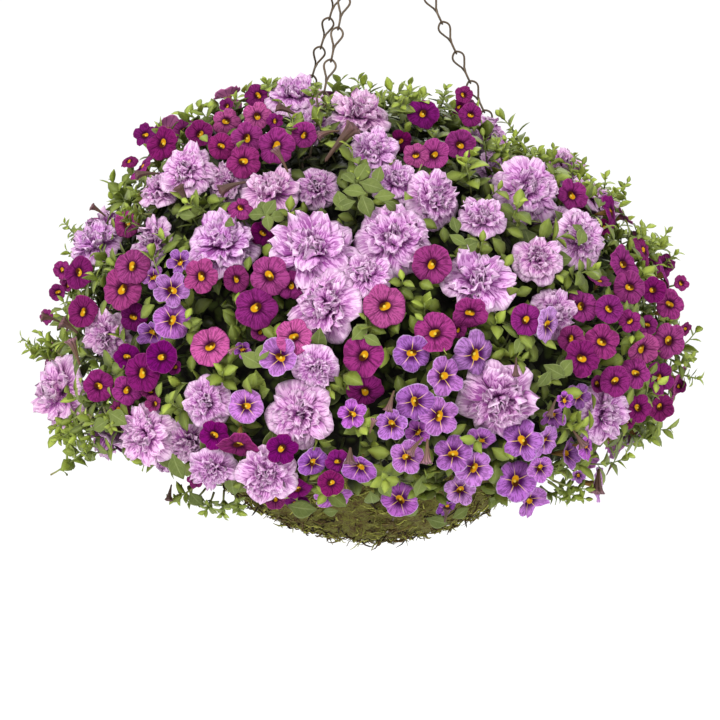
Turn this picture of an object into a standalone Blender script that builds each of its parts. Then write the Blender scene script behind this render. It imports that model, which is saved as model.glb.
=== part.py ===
"""Calibrachoa hanging basket: three jack chains on a hook carry a round-bottomed wire basket,
lined with moss and filled with soil, under a mound of magenta and violet calibrachoa and lilac
double petunias. Metres, +Z up. The origin is the point inside the hook that bears on its support,
and the front of the basket faces -Y."""

import math

import bmesh
import bpy
import numpy as np
from mathutils import Vector
from mathutils.bvhtree import BVHTree

# Driving dimensions. Heights are above the lowest point of the basket.
DROP = 0.600  # hook's bearing point above the lowest point of the basket
BOWL_RADIUS = 0.176  # centre line of the basket's wires
BOWL_CENTRE = 0.178
FIT_GAP = 0.0003  # between pieces that bear on each other
SPARE = 0.0006  # kept clear round each bloom

# Wire basket
RIM_WIRE = 0.0020
RIB_WIRE = 0.0013
RIM_SEGMENTS = 40
RIB_SEGMENTS = 16
RIB_PAIRS = 3
FIRST_RIB = 9  # degrees from the front
HOOP_HEIGHT = 0.080
HOOP_SEGMENTS = 24

# Moss liner and soil
LINER_RADIUS = 0.1733
LINER_THICKNESS = 0.0115
LINER_TOP = 0.168
LINER_COLUMNS = 20
LINER_ROWS = 5
SOIL_TOP = 0.160
SOIL_CROWN = 0.166
SOIL_CROWN_RADIUS = 0.100

# Hook
HOOK_WIRE = 0.0017
EYE_RADIUS = 0.009
EYE_HEIGHT = 0.536
CROOK_RADIUS = 0.0143
CROOK_STARTS = math.radians(-35)
CROOK_ENDS = math.radians(205)
CROOK_STEPS = 10
STEM_LENGTH = 0.011
STEM_OFFSET = 0.0055  # of the stem's bend, half way out to the crook
EYE_STEPS = 12

# Chains. Turns are seen from above, from the front and positive to the right.
CHAIN_TURNS = (("chain_front", -27, -0.0050), ("chain_right", 108, 0.0), ("chain_back", -144, 0.0050))
CHAIN_LINKS = 15
CHAIN_WIRE = 0.0010
LINK_HALF_WIDTH = 0.0046
LINK_SHOULDER = 0.22  # share of a link's length from its end to where it is widest
TWIST_LINKS = 7  # lowest links, which turn to meet the rim
LINK_WIRE_SHARE = 0.8  # of a link's wire, whose corners stand out from its centre line
EYE_GAP = 0.0012  # from the eye to a chain's first joint, so that the link's wires pass the eye
RIM_GAP = 0.0007  # from the rim to its last joint

# Inner growth of the plants: outline of a section, as reach from the axis and height
CORE_SECTION = (
    (0.028, 0.1664),
    (0.152, 0.1664),
    (0.160, 0.185),
    (0.184, 0.185),
    (0.188, 0.160),
    (0.184, 0.120),
    (0.171, 0.086),
    (0.182, 0.083),
    (0.198, 0.110),
    (0.209, 0.150),
    (0.205, 0.195),
    (0.188, 0.234),
    (0.155, 0.268),
    (0.105, 0.294),
    (0.060, 0.307),
    (0.028, 0.310),
)
SECTOR_TURNS = (-27, 18, 63, 108, 162, 216, 255, 294)  # where one sector ends and the next starts
SECTOR_STEPS = 2
SECTOR_GAP = 0.0006
CHAIN_SLOT = 0.0128  # between sectors where a chain comes down to the rim

# The mound's outline, as seen from the front
MOUND_HEIGHTS = (0.020, 0.031, 0.047, 0.063, 0.079, 0.096, 0.120, 0.160, 0.201, 0.242, 0.274,
                 0.307, 0.331, 0.351, 0.376, 0.386)
REACH_LEFT = (0.120, 0.152, 0.166, 0.180, 0.224, 0.258, 0.270, 0.264, 0.252, 0.246, 0.212,
              0.192, 0.180, 0.128, 0.080, 0.010)
REACH_RIGHT = (0.130, 0.158, 0.182, 0.190, 0.206, 0.240, 0.250, 0.256, 0.252, 0.226, 0.205,
               0.152, 0.108, 0.090, 0.032, 0.010)
MOUND_MIDDLE = 0.170

# The picture that the places of the blooms are read from: 720 pixels square
PIXEL = 0.0008
PICTURE_MIDDLE = 360
AXIS_X = 372
EQUATOR_Y = 300
HANGING_Y = 455  # blooms below this hang clear of the inner growth
VIEW_TILT = math.radians(10)
VIEW_DISTANCE = 2.6
VIEW_HEIGHT = 0.1443

# Blooms: x and y of the middle, width and height, all in pixels
LILAC_OUTER = (
    (294, 94, 57, 38), (359, 114, 62, 42), (374, 150, 49, 43), (191, 172, 56, 50), (160, 188, 48, 28),
    (270, 190, 55, 40), (397, 183, 48, 42), (432, 198, 47, 58), (530, 196, 67, 70), (482, 216, 48, 32),
    (581, 239, 46, 59), (538, 258, 50, 45), (95, 241, 54, 42), (222, 241, 71, 55), (313, 250, 83, 68),
    (393, 238, 72, 68), (366, 275, 50, 35), (324, 306, 53, 69), (479, 280, 71, 52), (58, 392, 51, 76),
    (206, 402, 47, 49), (313, 374, 45, 33), (299, 412, 62, 65), (501, 404, 75, 67), (144, 435, 52, 59),
    (267, 475, 58, 54), (604, 414, 44, 58),
)
LILAC_INNER = (
    (313, 127, 30, 24), (221, 180, 30, 35), (316, 187, 42, 41), (490, 133, 24, 28), (498, 170, 30, 26),
    (554, 221, 30, 30), (153, 241, 28, 50), (555, 315, 45, 50), (107, 335, 50, 45), (188, 443, 47, 38),
    (212, 470, 46, 35), (565, 168, 25, 25),
)
MAGENTA_OUTER = (
    (162, 143, 34, 34), (200, 134, 29, 29), (226, 121, 30, 30), (227, 106, 15, 15), (258, 95, 27, 27),
    (257, 116, 31, 31), (275, 121, 14, 14), (221, 146, 28, 28), (247, 138, 33, 33), (276, 146, 36, 36),
    (243, 161, 33, 33), (304, 135, 27, 27), (423, 113, 32, 32), (471, 115, 25, 25), (460, 145, 31, 31),
    (416, 155, 26, 26), (434, 155, 30, 30), (145, 135, 25, 25), (78, 272, 34, 34), (132, 266, 37, 37),
    (122, 289, 40, 40), (201, 276, 36, 36), (269, 276, 38, 38), (256, 307, 41, 41), (83, 312, 34, 34),
    (210, 346, 39, 39), (432, 264, 38, 38), (385, 306, 40, 40), (435, 333, 40, 40), (526, 320, 33, 33),
    (293, 338, 35, 35), (127, 357, 27, 27), (142, 373, 38, 38), (162, 357, 31, 31), (98, 386, 34, 34),
    (127, 390, 31, 31), (214, 435, 29, 29), (284, 445, 30, 30), (331, 483, 27, 27), (363, 356, 25, 40),
    (470, 313, 36, 20), (240, 208, 27, 15), (238, 446, 43, 14), (298, 490, 30, 18), (275, 499, 22, 22),
    (572, 195, 30, 34), (612, 212, 16, 35), (624, 264, 28, 37), (664, 266, 27, 27), (630, 287, 34, 34),
    (653, 290, 27, 27), (670, 304, 32, 32), (609, 309, 28, 28), (602, 342, 37, 37), (669, 341, 36, 36),
    (642, 349, 25, 34), (582, 358, 36, 36), (636, 373, 30, 30), (660, 378, 33, 33), (615, 381, 32, 32),
    (638, 408, 28, 28), (660, 407, 29, 29), (630, 321, 24, 24),
)
MAGENTA_INNER = (
    (183, 131, 26, 26), (129, 161, 20, 14), (463, 96, 20, 20), (460, 106, 20, 20), (400, 141, 24, 24),
    (263, 233, 26, 26), (127, 224, 28, 28), (236, 279, 26, 26), (292, 284, 28, 28), (62, 270, 22, 22),
    (60, 292, 22, 22), (66, 286, 15, 15), (133, 317, 30, 30), (47, 317, 20, 20), (458, 330, 16, 16),
    (365, 392, 36, 22), (175, 367, 18, 18), (151, 391, 22, 22), (118, 410, 24, 24), (155, 404, 20, 20),
    (338, 462, 24, 24), (296, 504, 28, 16), (195, 480, 16, 16), (604, 227, 20, 20), (650, 264, 18, 18),
    (681, 283, 14, 14), (599, 280, 25, 16), (581, 306, 33, 33), (647, 325, 23, 23), (685, 329, 12, 12),
    (570, 338, 28, 28), (597, 384, 22, 22), (627, 421, 14, 14), (679, 386, 12, 12), (261, 332, 20, 20),
)
VIOLET_OUTER = (
    (180, 262, 26, 26), (172, 290, 35, 35), (172, 320, 37, 37), (281, 356, 37, 37), (246, 406, 34, 34),
    (412, 353, 36, 36), (476, 355, 45, 28), (444, 376, 36, 40), (415, 402, 38, 30), (439, 416, 38, 38),
    (392, 424, 30, 30), (407, 457, 34, 34), (453, 454, 36, 36), (474, 468, 36, 36), (520, 438, 40, 40),
    (545, 441, 32, 36), (548, 325, 20, 36), (460, 490, 32, 32), (400, 500, 37, 37), (516, 481, 40, 40),
    (587, 446, 22, 30), (564, 400, 22, 22), (352, 414, 29, 29),
)
VIOLET_INNER = (
    (153, 333, 30, 18), (153, 277, 24, 24), (243, 350, 20, 20), (418, 432, 24, 24), (481, 441, 30, 20),
    (530, 501, 36, 24), (540, 468, 26, 26), (567, 453, 16, 32), (578, 396, 26, 26), (598, 484, 20, 36),
    (578, 475, 18, 18), (552, 415, 26, 18), (313, 463, 30, 24), (360, 467, 33, 22), (333, 496, 40, 22),
    (447, 507, 24, 18),
)
INNER_SINK = 0.012  # how much deeper the half-hidden blooms sit
MIRRORED_SHARE = 0.62  # of the blooms that the back of the mound repeats
SIDE_BLOOMS = 42  # most that fill the sides, which the picture shows only edge on
SIDE_TRIES = 3000
SIDE_FRONT = -0.075  # how far forward they may be
SIDE_SPACE = 0.005
SIDE_RADII = (0.0225, 0.0138, 0.0138)
BACK_STARTS = 0.020  # how far behind the axis the first mirrored bloom is
MIRROR_SHIFT = 0.004
MIRROR_NEAREST = 0.8  # least distance to another bloom, as a share of both radii
HANGING_INSET = 0.4
SEEN_SHARE = 0.68  # how much of a bloom's facing is read from its oval, the rest from the mound
SIGHT_SHARES = (0.87, 1.04)  # part of a line of sight that may meet the mound
SIGHT_STEPS = 500
SLOPE_STEP = 0.004
ROUNDING = 0.6  # share of the way from the mound's middle in its facing
SETTLE_ROUNDS = 60
SETTLE_PUSH = 0.25
SETTLE_DEPTH = 0.9
SETTLE_ASIDE = 0.3
SETTLE_FARTHEST = 0.012


class Kind:
    """One kind of bloom: its colour, its least radius, how deep it sits and how many sprays it fills."""

    def __init__(self, name, outer, inner, least, inset, body, sprays):
        self.name = name
        self.outer = outer
        self.inner = inner
        self.least = least
        self.inset = inset
        self.body = body
        self.sprays = sprays


KINDS = (
    Kind("lilac_petunia", LILAC_OUTER, LILAC_INNER, 0.0175, 0.014, 0.80, 14),
    Kind("magenta_calibrachoa", MAGENTA_OUTER, MAGENTA_INNER, 0.0060, 0.007, 0.62, 18),
    Kind("violet_calibrachoa", VIOLET_OUTER, VIOLET_INNER, 0.0070, 0.007, 0.62, 9),
)
BUD_RADIUS = 0.0085  # blooms smaller than this are still closed
LOBED_RADIUS = 0.0122  # blooms smaller than this have one corner to a lobe
LEAST_LEAN = 0.45  # cosine between a bloom's facing and the way from its hub to it
LEAN_BACK = 1.2
HUB_RADIUS = 0.0070
HUB_SPREADS = (0.0, 0.008, 0.012, 0.016, 0.020, 0.020, 0.025, 0.025, 0.030, 0.030, 0.035, 0.035)
ROOT_PAST_HUB = 0.0026
CLUSTER_ROUNDS = 12
NEIGHBOURS = 5  # sprays that are tried for a bloom that its own has no room for

# Shapes of the blooms, from the stalk outwards, as shares of the radius: the height of the neck, rings
# of (radii, heights, corners, turn), whose radii and heights repeat round the ring, and the height of
# the middle of the mouth.
DOUBLE_SHAPE = (
    -0.62,
    (
        (0.20, -0.62, 3, 0.0),
        ((1.0, 0.84), (-0.05, 0.07), 10, 0.0),
        (0.60, 0.16, 5, 0.0),
        ((0.74, 0.58), (0.34, 0.44), 8, 0.3),
    ),
    0.24,
)
LOBED_SHAPE = (-0.55, ((0.22, -0.55, 3, 0.0), ((1.0, 0.86), (0.0, 0.03), 10, 0.0)), -0.28)
PLAIN_SHAPE = (-0.55, ((0.22, -0.55, 3, 0.0), (0.98, 0.0, 5, 0.0)), -0.28)
BUD_SHAPE = (-0.90, ((0.35, -0.90, 3, 0.0), (0.55, 0.30, 3, 1.0)), 0.90)

# How far a bloom moves outwards and how much smaller it gets until there is room for it
BLOOM_MOVES = [
    (depth, size)
    for size in (1.0, 0.92, 0.84, 0.74)
    for depth in (0.0, 0.003, -0.004, 0.006, -0.008, 0.010, -0.012, 0.014, 0.018)
]
HEADS = "heads"  # owner of the blooms without their stalks

# Leaves, larger than life and fewer than on the plant
LEAVES_A_SECTOR = 12
LEAF_LENGTH = (0.017, 0.026)
LEAF_WIDTH = (0.50, 0.62)  # share of the length
LEAF_WIDEST = 0.45
LEAF_THICKNESS = 0.0009
LEAF_STALK = 0.0011
LEAF_TRIES = 900
LEAF_SWING = 0.35
LEAF_RISE = 0.15
LEAF_DROOP = 0.5
LEAF_FARTHEST = 0.09
LEAF_STEP = 0.003
LEAF_PAST_MOUND = (-0.006, 0.004)
ROOT_DEPTH = 0.006
LEAST_OUTWARD = 0.3  # cosine between a face that leaves grow from and the way out
SEED = 41

# Clean-up after a union
MERGE_DISTANCE = 0.00001
LEVEL_ANGLE = math.radians(1.0)
ROUND_TO = 1e7  # parts of a metre that count as one place: a ten-thousandth of a millimetre


def material(name, colour, roughness, metallic=0.0):
    made = bpy.data.materials.new(name)
    made.use_nodes = True
    shader = made.node_tree.nodes["Principled BSDF"]
    shader.inputs["Base Color"].default_value = (*colour, 1.0)
    shader.inputs["Roughness"].default_value = roughness
    shader.inputs["Metallic"].default_value = metallic
    made.diffuse_color = (*colour, 1.0)
    return made


def add_object(name, points, faces, finish=None):
    mesh = bpy.data.meshes.new(name)
    mesh.from_pydata([tuple(map(float, p)) for p in points], [], [tuple(map(int, f)) for f in faces])
    mesh.update()
    made = bpy.data.objects.new(name, mesh)
    bpy.context.scene.collection.objects.link(made)
    if finish:
        mesh.materials.append(finish)
    return made


def shade_round(made, angle=40):
    made.data.shade_smooth()
    made.data.set_sharp_from_angle(angle=math.radians(angle))


def unit(vector):
    return vector / max(np.linalg.norm(vector), 1e-12)


def side_of(direction):
    """A unit vector square to the direction."""
    other = np.array((1.0, 0.0, 0.0)) if abs(direction[0]) < 0.8 else np.array((0.0, 1.0, 0.0))
    return unit(np.cross(direction, other))


def on_turn(reach, turn, height):
    """The point at a reach from the axis, a turn in degrees from the front and a height on the basket."""
    angle = math.radians(turn)
    return np.array((reach * math.sin(angle), -reach * math.cos(angle), height - DROP))


def tube(path, radius, sides, closed=False):
    """A round bar along a path: rings square to it, each turned as little as possible from the last."""
    path = np.array(path, float)
    count = len(path)
    ahead = np.roll(path, -1, axis=0) - path
    behind = path - np.roll(path, 1, axis=0)
    if not closed:
        ahead[-1] = behind[-1]
        behind[0] = ahead[0]
    along = np.array([unit(unit(a) + unit(b)) for a, b in zip(ahead, behind)])
    across = [side_of(along[0])]
    for direction in along[1:]:
        across.append(unit(across[-1] - direction * np.dot(across[-1], direction)))
    slip = 0.0
    if closed:
        back = unit(across[-1] - along[0] * np.dot(across[-1], along[0]))
        other = np.cross(along[0], across[0])
        slip = math.atan2(np.dot(back, other), np.dot(back, across[0]))
    points = []
    for i in range(count):
        other = np.cross(along[i], across[i])
        miter = 1.0 / max(0.6, np.dot(along[i], unit(ahead[i])))
        for k in range(sides):
            angle = 2 * math.pi * k / sides - slip * i / count
            step = math.cos(angle) * across[i] + math.sin(angle) * other
            points.append(path[i] + radius * (1 + 0.3 * (miter - 1)) * step)
    faces = []
    for i in range(count if closed else count - 1):
        a, b = i * sides, ((i + 1) % count) * sides
        for k in range(sides):
            n = (k + 1) % sides
            faces.append((a + k, a + n, b + n))
            faces.append((a + k, b + n, b + k))
    if not closed:
        faces.append(tuple(reversed(range(sides))))
        faces.append(tuple(range((count - 1) * sides, count * sides)))
    return points, faces


def ring_path(radius, height, segments, first_turn=0.0):
    return [on_turn(radius, first_turn + 360 * k / segments, height) for k in range(segments)]


def join(name, solids, finish):
    """One solid from several that overlap. The second solver is for where the first leaves a flaw."""
    base = add_object(name, *solids[0], finish)
    if len(solids) == 1:
        return base
    group = bpy.data.collections.new(name + "_repeats")
    bpy.context.scene.collection.children.link(group)
    for points, faces in solids[1:]:
        piece = add_object("repeat", points, faces)
        bpy.context.scene.collection.objects.unlink(piece)
        group.objects.link(piece)
    union = base.modifiers.new("union", "BOOLEAN")
    union.operation = "UNION"
    union.operand_type = "COLLECTION"
    union.collection = group
    for solver, merged in (("EXACT", True), ("EXACT", False), ("MANIFOLD", True), ("MANIFOLD", False)):
        union.solver = solver
        graph = bpy.context.evaluated_depsgraph_get()
        whole = bpy.data.meshes.new_from_object(base.evaluated_get(graph))
        merge_level_faces(whole, LEVEL_ANGLE if merged else 0.0)
        if is_closed(whole):
            break
    base.modifiers.remove(union)
    base.data = whole
    for piece in list(group.objects):
        bpy.data.objects.remove(piece)
    bpy.data.collections.remove(group)
    if finish and not whole.materials:
        whole.materials.append(finish)
    return base


def is_closed(mesh):
    """Whether two faces meet at every edge, where points in nearly one place count as one."""
    points = np.array([v.co for v in mesh.vertices])
    _, number = np.unique(np.round(points * ROUND_TO), axis=0, return_inverse=True)
    corners = number.reshape(-1)[np.array([p.vertices[:] for p in mesh.polygons])]
    ends = np.sort(np.concatenate([corners[:, [0, 1]], corners[:, [1, 2]], corners[:, [2, 0]]]), axis=1)
    ends = ends[ends[:, 0] != ends[:, 1]]
    return bool((np.unique(ends, axis=0, return_counts=True)[1] == 2).all())


def merge_level_faces(mesh, angle):
    """Takes out the edges that a union leaves inside faces that are flat to within the angle."""
    work = bmesh.new()
    work.from_mesh(mesh)
    if angle:
        bmesh.ops.remove_doubles(work, verts=work.verts, dist=MERGE_DISTANCE)
        bmesh.ops.dissolve_limit(
            work, angle_limit=angle, verts=work.verts, edges=work.edges, use_dissolve_boundaries=False
        )
    bmesh.ops.triangulate(work, faces=work.faces)
    drop_scrap(work)
    work.to_mesh(mesh)
    work.free()


def drop_scrap(work):
    """Keeps the largest of the bodies that a union leaves."""
    bodies = []
    waiting = set(work.faces)
    while waiting:
        body = {waiting.pop()}
        edge = list(body)
        while edge:
            for side in edge.pop().edges:
                for face in side.link_faces:
                    if face not in body:
                        body.add(face)
                        edge.append(face)
        waiting -= body
        bodies.append(body)
    bodies.sort(key=len)
    scrap = [face for body in bodies[:-1] for face in body]
    bmesh.ops.delete(work, geom=scrap, context="FACES")


# Basket

def wire_basket(finish):
    """Rim, ribs that run from rim to rim under the bowl, and the hoop that ties them."""
    solids = [tube(ring_path(BOWL_RADIUS, BOWL_CENTRE, RIM_SEGMENTS), RIM_WIRE, 4, closed=True)]
    for pair in range(RIB_PAIRS):
        turn = 180 * pair / RIB_PAIRS + FIRST_RIB
        path = []
        for k in range(RIB_SEGMENTS + 1):
            angle = math.pi * k / RIB_SEGMENTS
            reach = BOWL_RADIUS * math.cos(angle)
            path.append(on_turn(reach, turn, BOWL_CENTRE - BOWL_RADIUS * math.sin(angle)))
        solids.append(tube(path, RIB_WIRE, 4))
    hoop = math.sqrt(BOWL_RADIUS**2 - (BOWL_CENTRE - HOOP_HEIGHT) ** 2)
    solids.append(tube(ring_path(hoop, HOOP_HEIGHT, HOOP_SEGMENTS, FIRST_RIB), RIB_WIRE, 4, closed=True))
    shade_round(join("wire_basket", solids, finish), 60)


def bowl_rows(radius, top):
    """Reach and height of the rows of a bowl, from near its lowest point up to its top."""
    lowest = math.pi / 2
    highest = math.asin((BOWL_CENTRE - top) / radius)
    rows = []
    for k in range(1, LINER_ROWS + 1):
        angle = lowest + (highest - lowest) * k / LINER_ROWS
        rows.append((radius * math.cos(angle), BOWL_CENTRE - radius * math.sin(angle)))
    return rows


def turned(name, section, finish):
    """A closed solid turned about the axis: the section's first and last points lie on the axis."""
    points = [on_turn(0, 0, section[0][1])]
    faces = []
    for reach, height in section[1:-1]:
        points += ring_path(reach, height, LINER_COLUMNS)
    points.append(on_turn(0, 0, section[-1][1]))
    last = len(points) - 1
    rings = len(section) - 2
    for k in range(LINER_COLUMNS):
        n = (k + 1) % LINER_COLUMNS
        faces.append((0, 1 + n, 1 + k))
        for ring in range(rings - 1):
            a, b = 1 + ring * LINER_COLUMNS, 1 + (ring + 1) * LINER_COLUMNS
            faces.append((a + k, a + n, b + n, b + k))
        a = 1 + (rings - 1) * LINER_COLUMNS
        faces.append((a + k, a + n, last))
    made = add_object(name, points, faces, finish)
    shade_round(made)
    return made


def moss_liner(finish):
    inner = LINER_RADIUS - LINER_THICKNESS
    section = [(0, BOWL_CENTRE - LINER_RADIUS)] + bowl_rows(LINER_RADIUS, LINER_TOP)
    section += list(reversed(bowl_rows(inner, LINER_TOP))) + [(0, BOWL_CENTRE - inner)]
    turned("moss_liner", section, finish)


def potting_soil(finish):
    """Soil that fills the liner: its side repeats the liner's inner facets, a little smaller."""
    inner = LINER_RADIUS - LINER_THICKNESS
    size = (inner - FIT_GAP) / inner
    rows = [(reach * size, BOWL_CENTRE + (height - BOWL_CENTRE) * size)
            for reach, height in bowl_rows(inner, LINER_TOP)]
    (low_reach, low_height), (high_reach, high_height) = rows[-2:]
    share = (SOIL_TOP - low_height) / (high_height - low_height)
    rows[-1] = (low_reach + share * (high_reach - low_reach), SOIL_TOP)
    lowest = BOWL_CENTRE - (inner - FIT_GAP)
    turned("potting_soil", [(0, lowest)] + rows + [(SOIL_CROWN_RADIUS, SOIL_CROWN), (0, SOIL_CROWN)], finish)


# Hook and chains

def hanger_hook(finish):
    """A closed eye for the chains, a stem and an open crook that bears on its support at the origin."""
    eye = []
    for k in range(EYE_STEPS):
        angle = 2 * math.pi * k / EYE_STEPS
        eye.append((0, EYE_RADIUS * math.sin(angle), EYE_HEIGHT - DROP - EYE_RADIUS * math.cos(angle)))
    middle = HOOK_WIRE - CROOK_RADIUS
    foot = EYE_HEIGHT - DROP + EYE_RADIUS
    path = [(0, 0, foot), (0, 0, foot + STEM_LENGTH), (STEM_OFFSET, 0, foot + 2 * STEM_LENGTH)]
    for k in range(CROOK_STEPS + 1):
        angle = CROOK_STARTS + (CROOK_ENDS - CROOK_STARTS) * k / CROOK_STEPS
        path.append((CROOK_RADIUS * math.cos(angle), 0, middle + CROOK_RADIUS * math.sin(angle)))
    solids = [tube(eye, HOOK_WIRE, 5, closed=True), tube(path, HOOK_WIRE, 6)]
    shade_round(join("hanger_hook", solids, finish), 60)


FRONT_SIDE, LEFT_SIDE, BACK_SIDE, RIGHT_SIDE = range(4)  # of a chain's blocks, in the order of their corners


class Welded:
    """A skin put together from four-cornered rings, each joined to the next by its nearest corners."""

    def __init__(self):
        self.points = []
        self.faces = []

    def ring(self, middle, first, second, radius):
        start = len(self.points)
        for a, b in ((1, 1), (-1, 1), (-1, -1), (1, -1)):
            self.points.append(middle + radius * (a * first + b * second))
        return [start + k for k in range(4)]

    def bridge(self, one, two):
        """Sides from one ring to the next. Both rings run the same way round."""
        lengths = [
            sum(np.linalg.norm(self.points[one[k]] - self.points[two[(k + turn) % 4]]) for k in range(4))
            for turn in range(4)
        ]
        turn = int(np.argmin(lengths))
        for k in range(4):
            n = (k + 1) % 4
            self.faces.append((one[k], one[n], two[(n + turn) % 4], two[(k + turn) % 4]))


def chain_ends(turn, along_eye):
    """Where the wires' centre lines bear: on the eye and under the rim."""
    lift = math.sqrt(EYE_RADIUS**2 - along_eye**2)
    top = np.array((0, along_eye, EYE_HEIGHT - DROP - lift))
    foot = on_turn(BOWL_RADIUS, turn, BOWL_CENTRE)
    along = unit(foot - top)
    return (
        top - along * (HOOK_WIRE + CHAIN_WIRE + EYE_GAP),
        foot + along * (RIM_WIRE + CHAIN_WIRE + RIM_GAP),
        along,
    )


def chain(name, turn, along_eye, finish):
    """Jack chain from the eye to the rim. A link is two wires, wide near both ends, its lower half
    turned a quarter, and each joint between links is a small block that four wires grow from. The
    lowest links turn, so that the last one clasps the rim."""
    top, foot, along = chain_ends(turn, along_eye)
    pitch = np.linalg.norm(foot - top) / CHAIN_LINKS
    across = unit(np.cross(along, (0, 1, 0)))
    other = np.cross(along, across)
    rim = np.array((math.cos(math.radians(turn)), math.sin(math.radians(turn)), 0))
    wanted = unit(np.cross(along, rim))
    # The last link's lower loop lies a quarter turn on from its upper one.
    total = math.atan2(np.dot(wanted, other), np.dot(wanted, across)) - math.pi / 2
    total = (total + math.pi / 2) % math.pi - math.pi / 2
    skin_of = Welded()
    swings = []
    blocks = []
    for k in range(CHAIN_LINKS + 1):
        angle = total * max(0.0, (k - CHAIN_LINKS + TWIST_LINKS) / TWIST_LINKS)
        u = math.cos(angle) * across + math.sin(angle) * other
        v = np.cross(along, u)
        middle = top + along * pitch * k
        corners = [skin_of.ring(middle + side * CHAIN_WIRE * along, u, v, CHAIN_WIRE) for side in (-1, 1)]
        swings.append((u, v))
        blocks.append(corners)
    for k in range(CHAIN_LINKS + 1):
        upper, lower = blocks[k]
        skin_of.faces += [tuple(reversed(upper)), tuple(lower)]
        if k == 0:
            skin_of.faces += [block_side(blocks[k], n) for n in (FRONT_SIDE, BACK_SIDE)]
        if k == CHAIN_LINKS:
            skin_of.faces += [block_side(blocks[k], n) for n in (LEFT_SIDE, RIGHT_SIDE)]
            continue
        start = top + along * pitch * k
        for side, first, last in ((-1, LEFT_SIDE, BACK_SIDE), (1, RIGHT_SIDE, FRONT_SIDE)):
            shoulder = side * LINK_HALF_WIDTH * swings[k][0]
            hip = side * LINK_HALF_WIDTH * swings[k + 1][1]
            ends = (block_side(blocks[k], first), block_side(blocks[k + 1], last)[::-1])
            grow_wire(skin_of, ends, start, along * pitch, shoulder, hip)
    shade_round(add_object(name, skin_of.points, skin_of.faces, finish), 60)


def block_side(block, number):
    """Corners of one side of a block, counterclockwise as seen from outside."""
    upper, lower = block
    following = (number + 1) % 4
    return (upper[number], upper[following], lower[following], lower[number])


def grow_wire(skin_of, ends, start, step, shoulder, hip):
    """One wire of a link, from a side face of its upper block over two bends to one of its lower block."""
    bends = (start + step * LINK_SHOULDER + shoulder, start + step * (1 - LINK_SHOULDER) + hip)
    direction = unit(bends[1] - bends[0])
    first = side_of(direction)
    rings = [list(ends[0])]
    for bend in bends:
        rings.append(skin_of.ring(bend, np.cross(first, direction), first, CHAIN_WIRE * LINK_WIRE_SHARE))
    rings.append(list(ends[1]))
    for one, two in zip(rings, rings[1:]):
        skin_of.bridge(one, two)


# Mound

def mound_reach(turn_sine, height):
    """Reach of the mound's outline, which differs a little from the left side to the right."""
    left = np.interp(height, MOUND_HEIGHTS, REACH_LEFT)
    right = np.interp(height, MOUND_HEIGHTS, REACH_RIGHT)
    return left * (1 - turn_sine) / 2 + right * (1 + turn_sine) / 2


def mound_excess(points):
    """How far points lie outside the mound's outline, measured level."""
    reach = np.hypot(points[..., 0], points[..., 1])
    sine = points[..., 0] / np.maximum(reach, 1e-6)
    return reach - mound_reach(sine, points[..., 2] + DROP)


def from_middle():
    return np.array((0.0, 0.0, MOUND_MIDDLE - DROP))


def sunk_excess(points, inset):
    """The same for a mound whose surface lies deeper by the inset."""
    outward = points - from_middle()
    far = np.linalg.norm(outward, axis=-1, keepdims=True)
    return mound_excess(points + outward * (inset / np.maximum(far, 1e-6)))


def mound_normal(point):
    """Which way the mound faces at a point."""
    slopes = []
    for axis in SLOPE_STEP * np.eye(3):
        slopes.append(mound_excess(point + axis) - mound_excess(point - axis))
    return unit(unit(np.array(slopes)) + ROUNDING * unit(point - from_middle()))


def view_axes():
    ahead = np.array((0.0, math.cos(VIEW_TILT), -math.sin(VIEW_TILT)))
    up = np.array((0.0, math.sin(VIEW_TILT), math.cos(VIEW_TILT)))
    return np.array((1.0, 0.0, 0.0)), ahead, up


def seen_at(x, y, inset):
    """Where the line of sight through a picture point meets the mound, or passes nearest to it."""
    right, ahead, up = view_axes()
    target = np.array(((PICTURE_MIDDLE - AXIS_X) * PIXEL, 0.0, VIEW_HEIGHT - DROP))
    eye = target - VIEW_DISTANCE * ahead
    way = VIEW_DISTANCE * ahead + PIXEL * ((x - PICTURE_MIDDLE) * right - (y - PICTURE_MIDDLE) * up)
    shares = np.linspace(*SIGHT_SHARES, SIGHT_STEPS)
    line = eye + shares[:, None] * way
    excess = sunk_excess(line, inset)
    inside = np.nonzero(excess < 0)[0]
    return line[inside[0] if len(inside) else np.argmin(excess)]


def facing_of(x, y, width, height, normal):
    """A bloom seen as an oval is tilted outwards from the middle; it also follows the mound a little."""
    right, ahead, up = view_axes()
    aside = math.copysign(math.acos(min(1.0, width / height)), x - AXIS_X)
    rise = math.copysign(math.acos(min(1.0, height / width)), EQUATOR_Y - y)
    seen = math.sin(aside) * right + math.sin(rise) * up - math.cos(aside) * math.cos(rise) * ahead
    return unit(SEEN_SHARE * unit(seen) + (1 - SEEN_SHARE) * normal)


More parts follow.
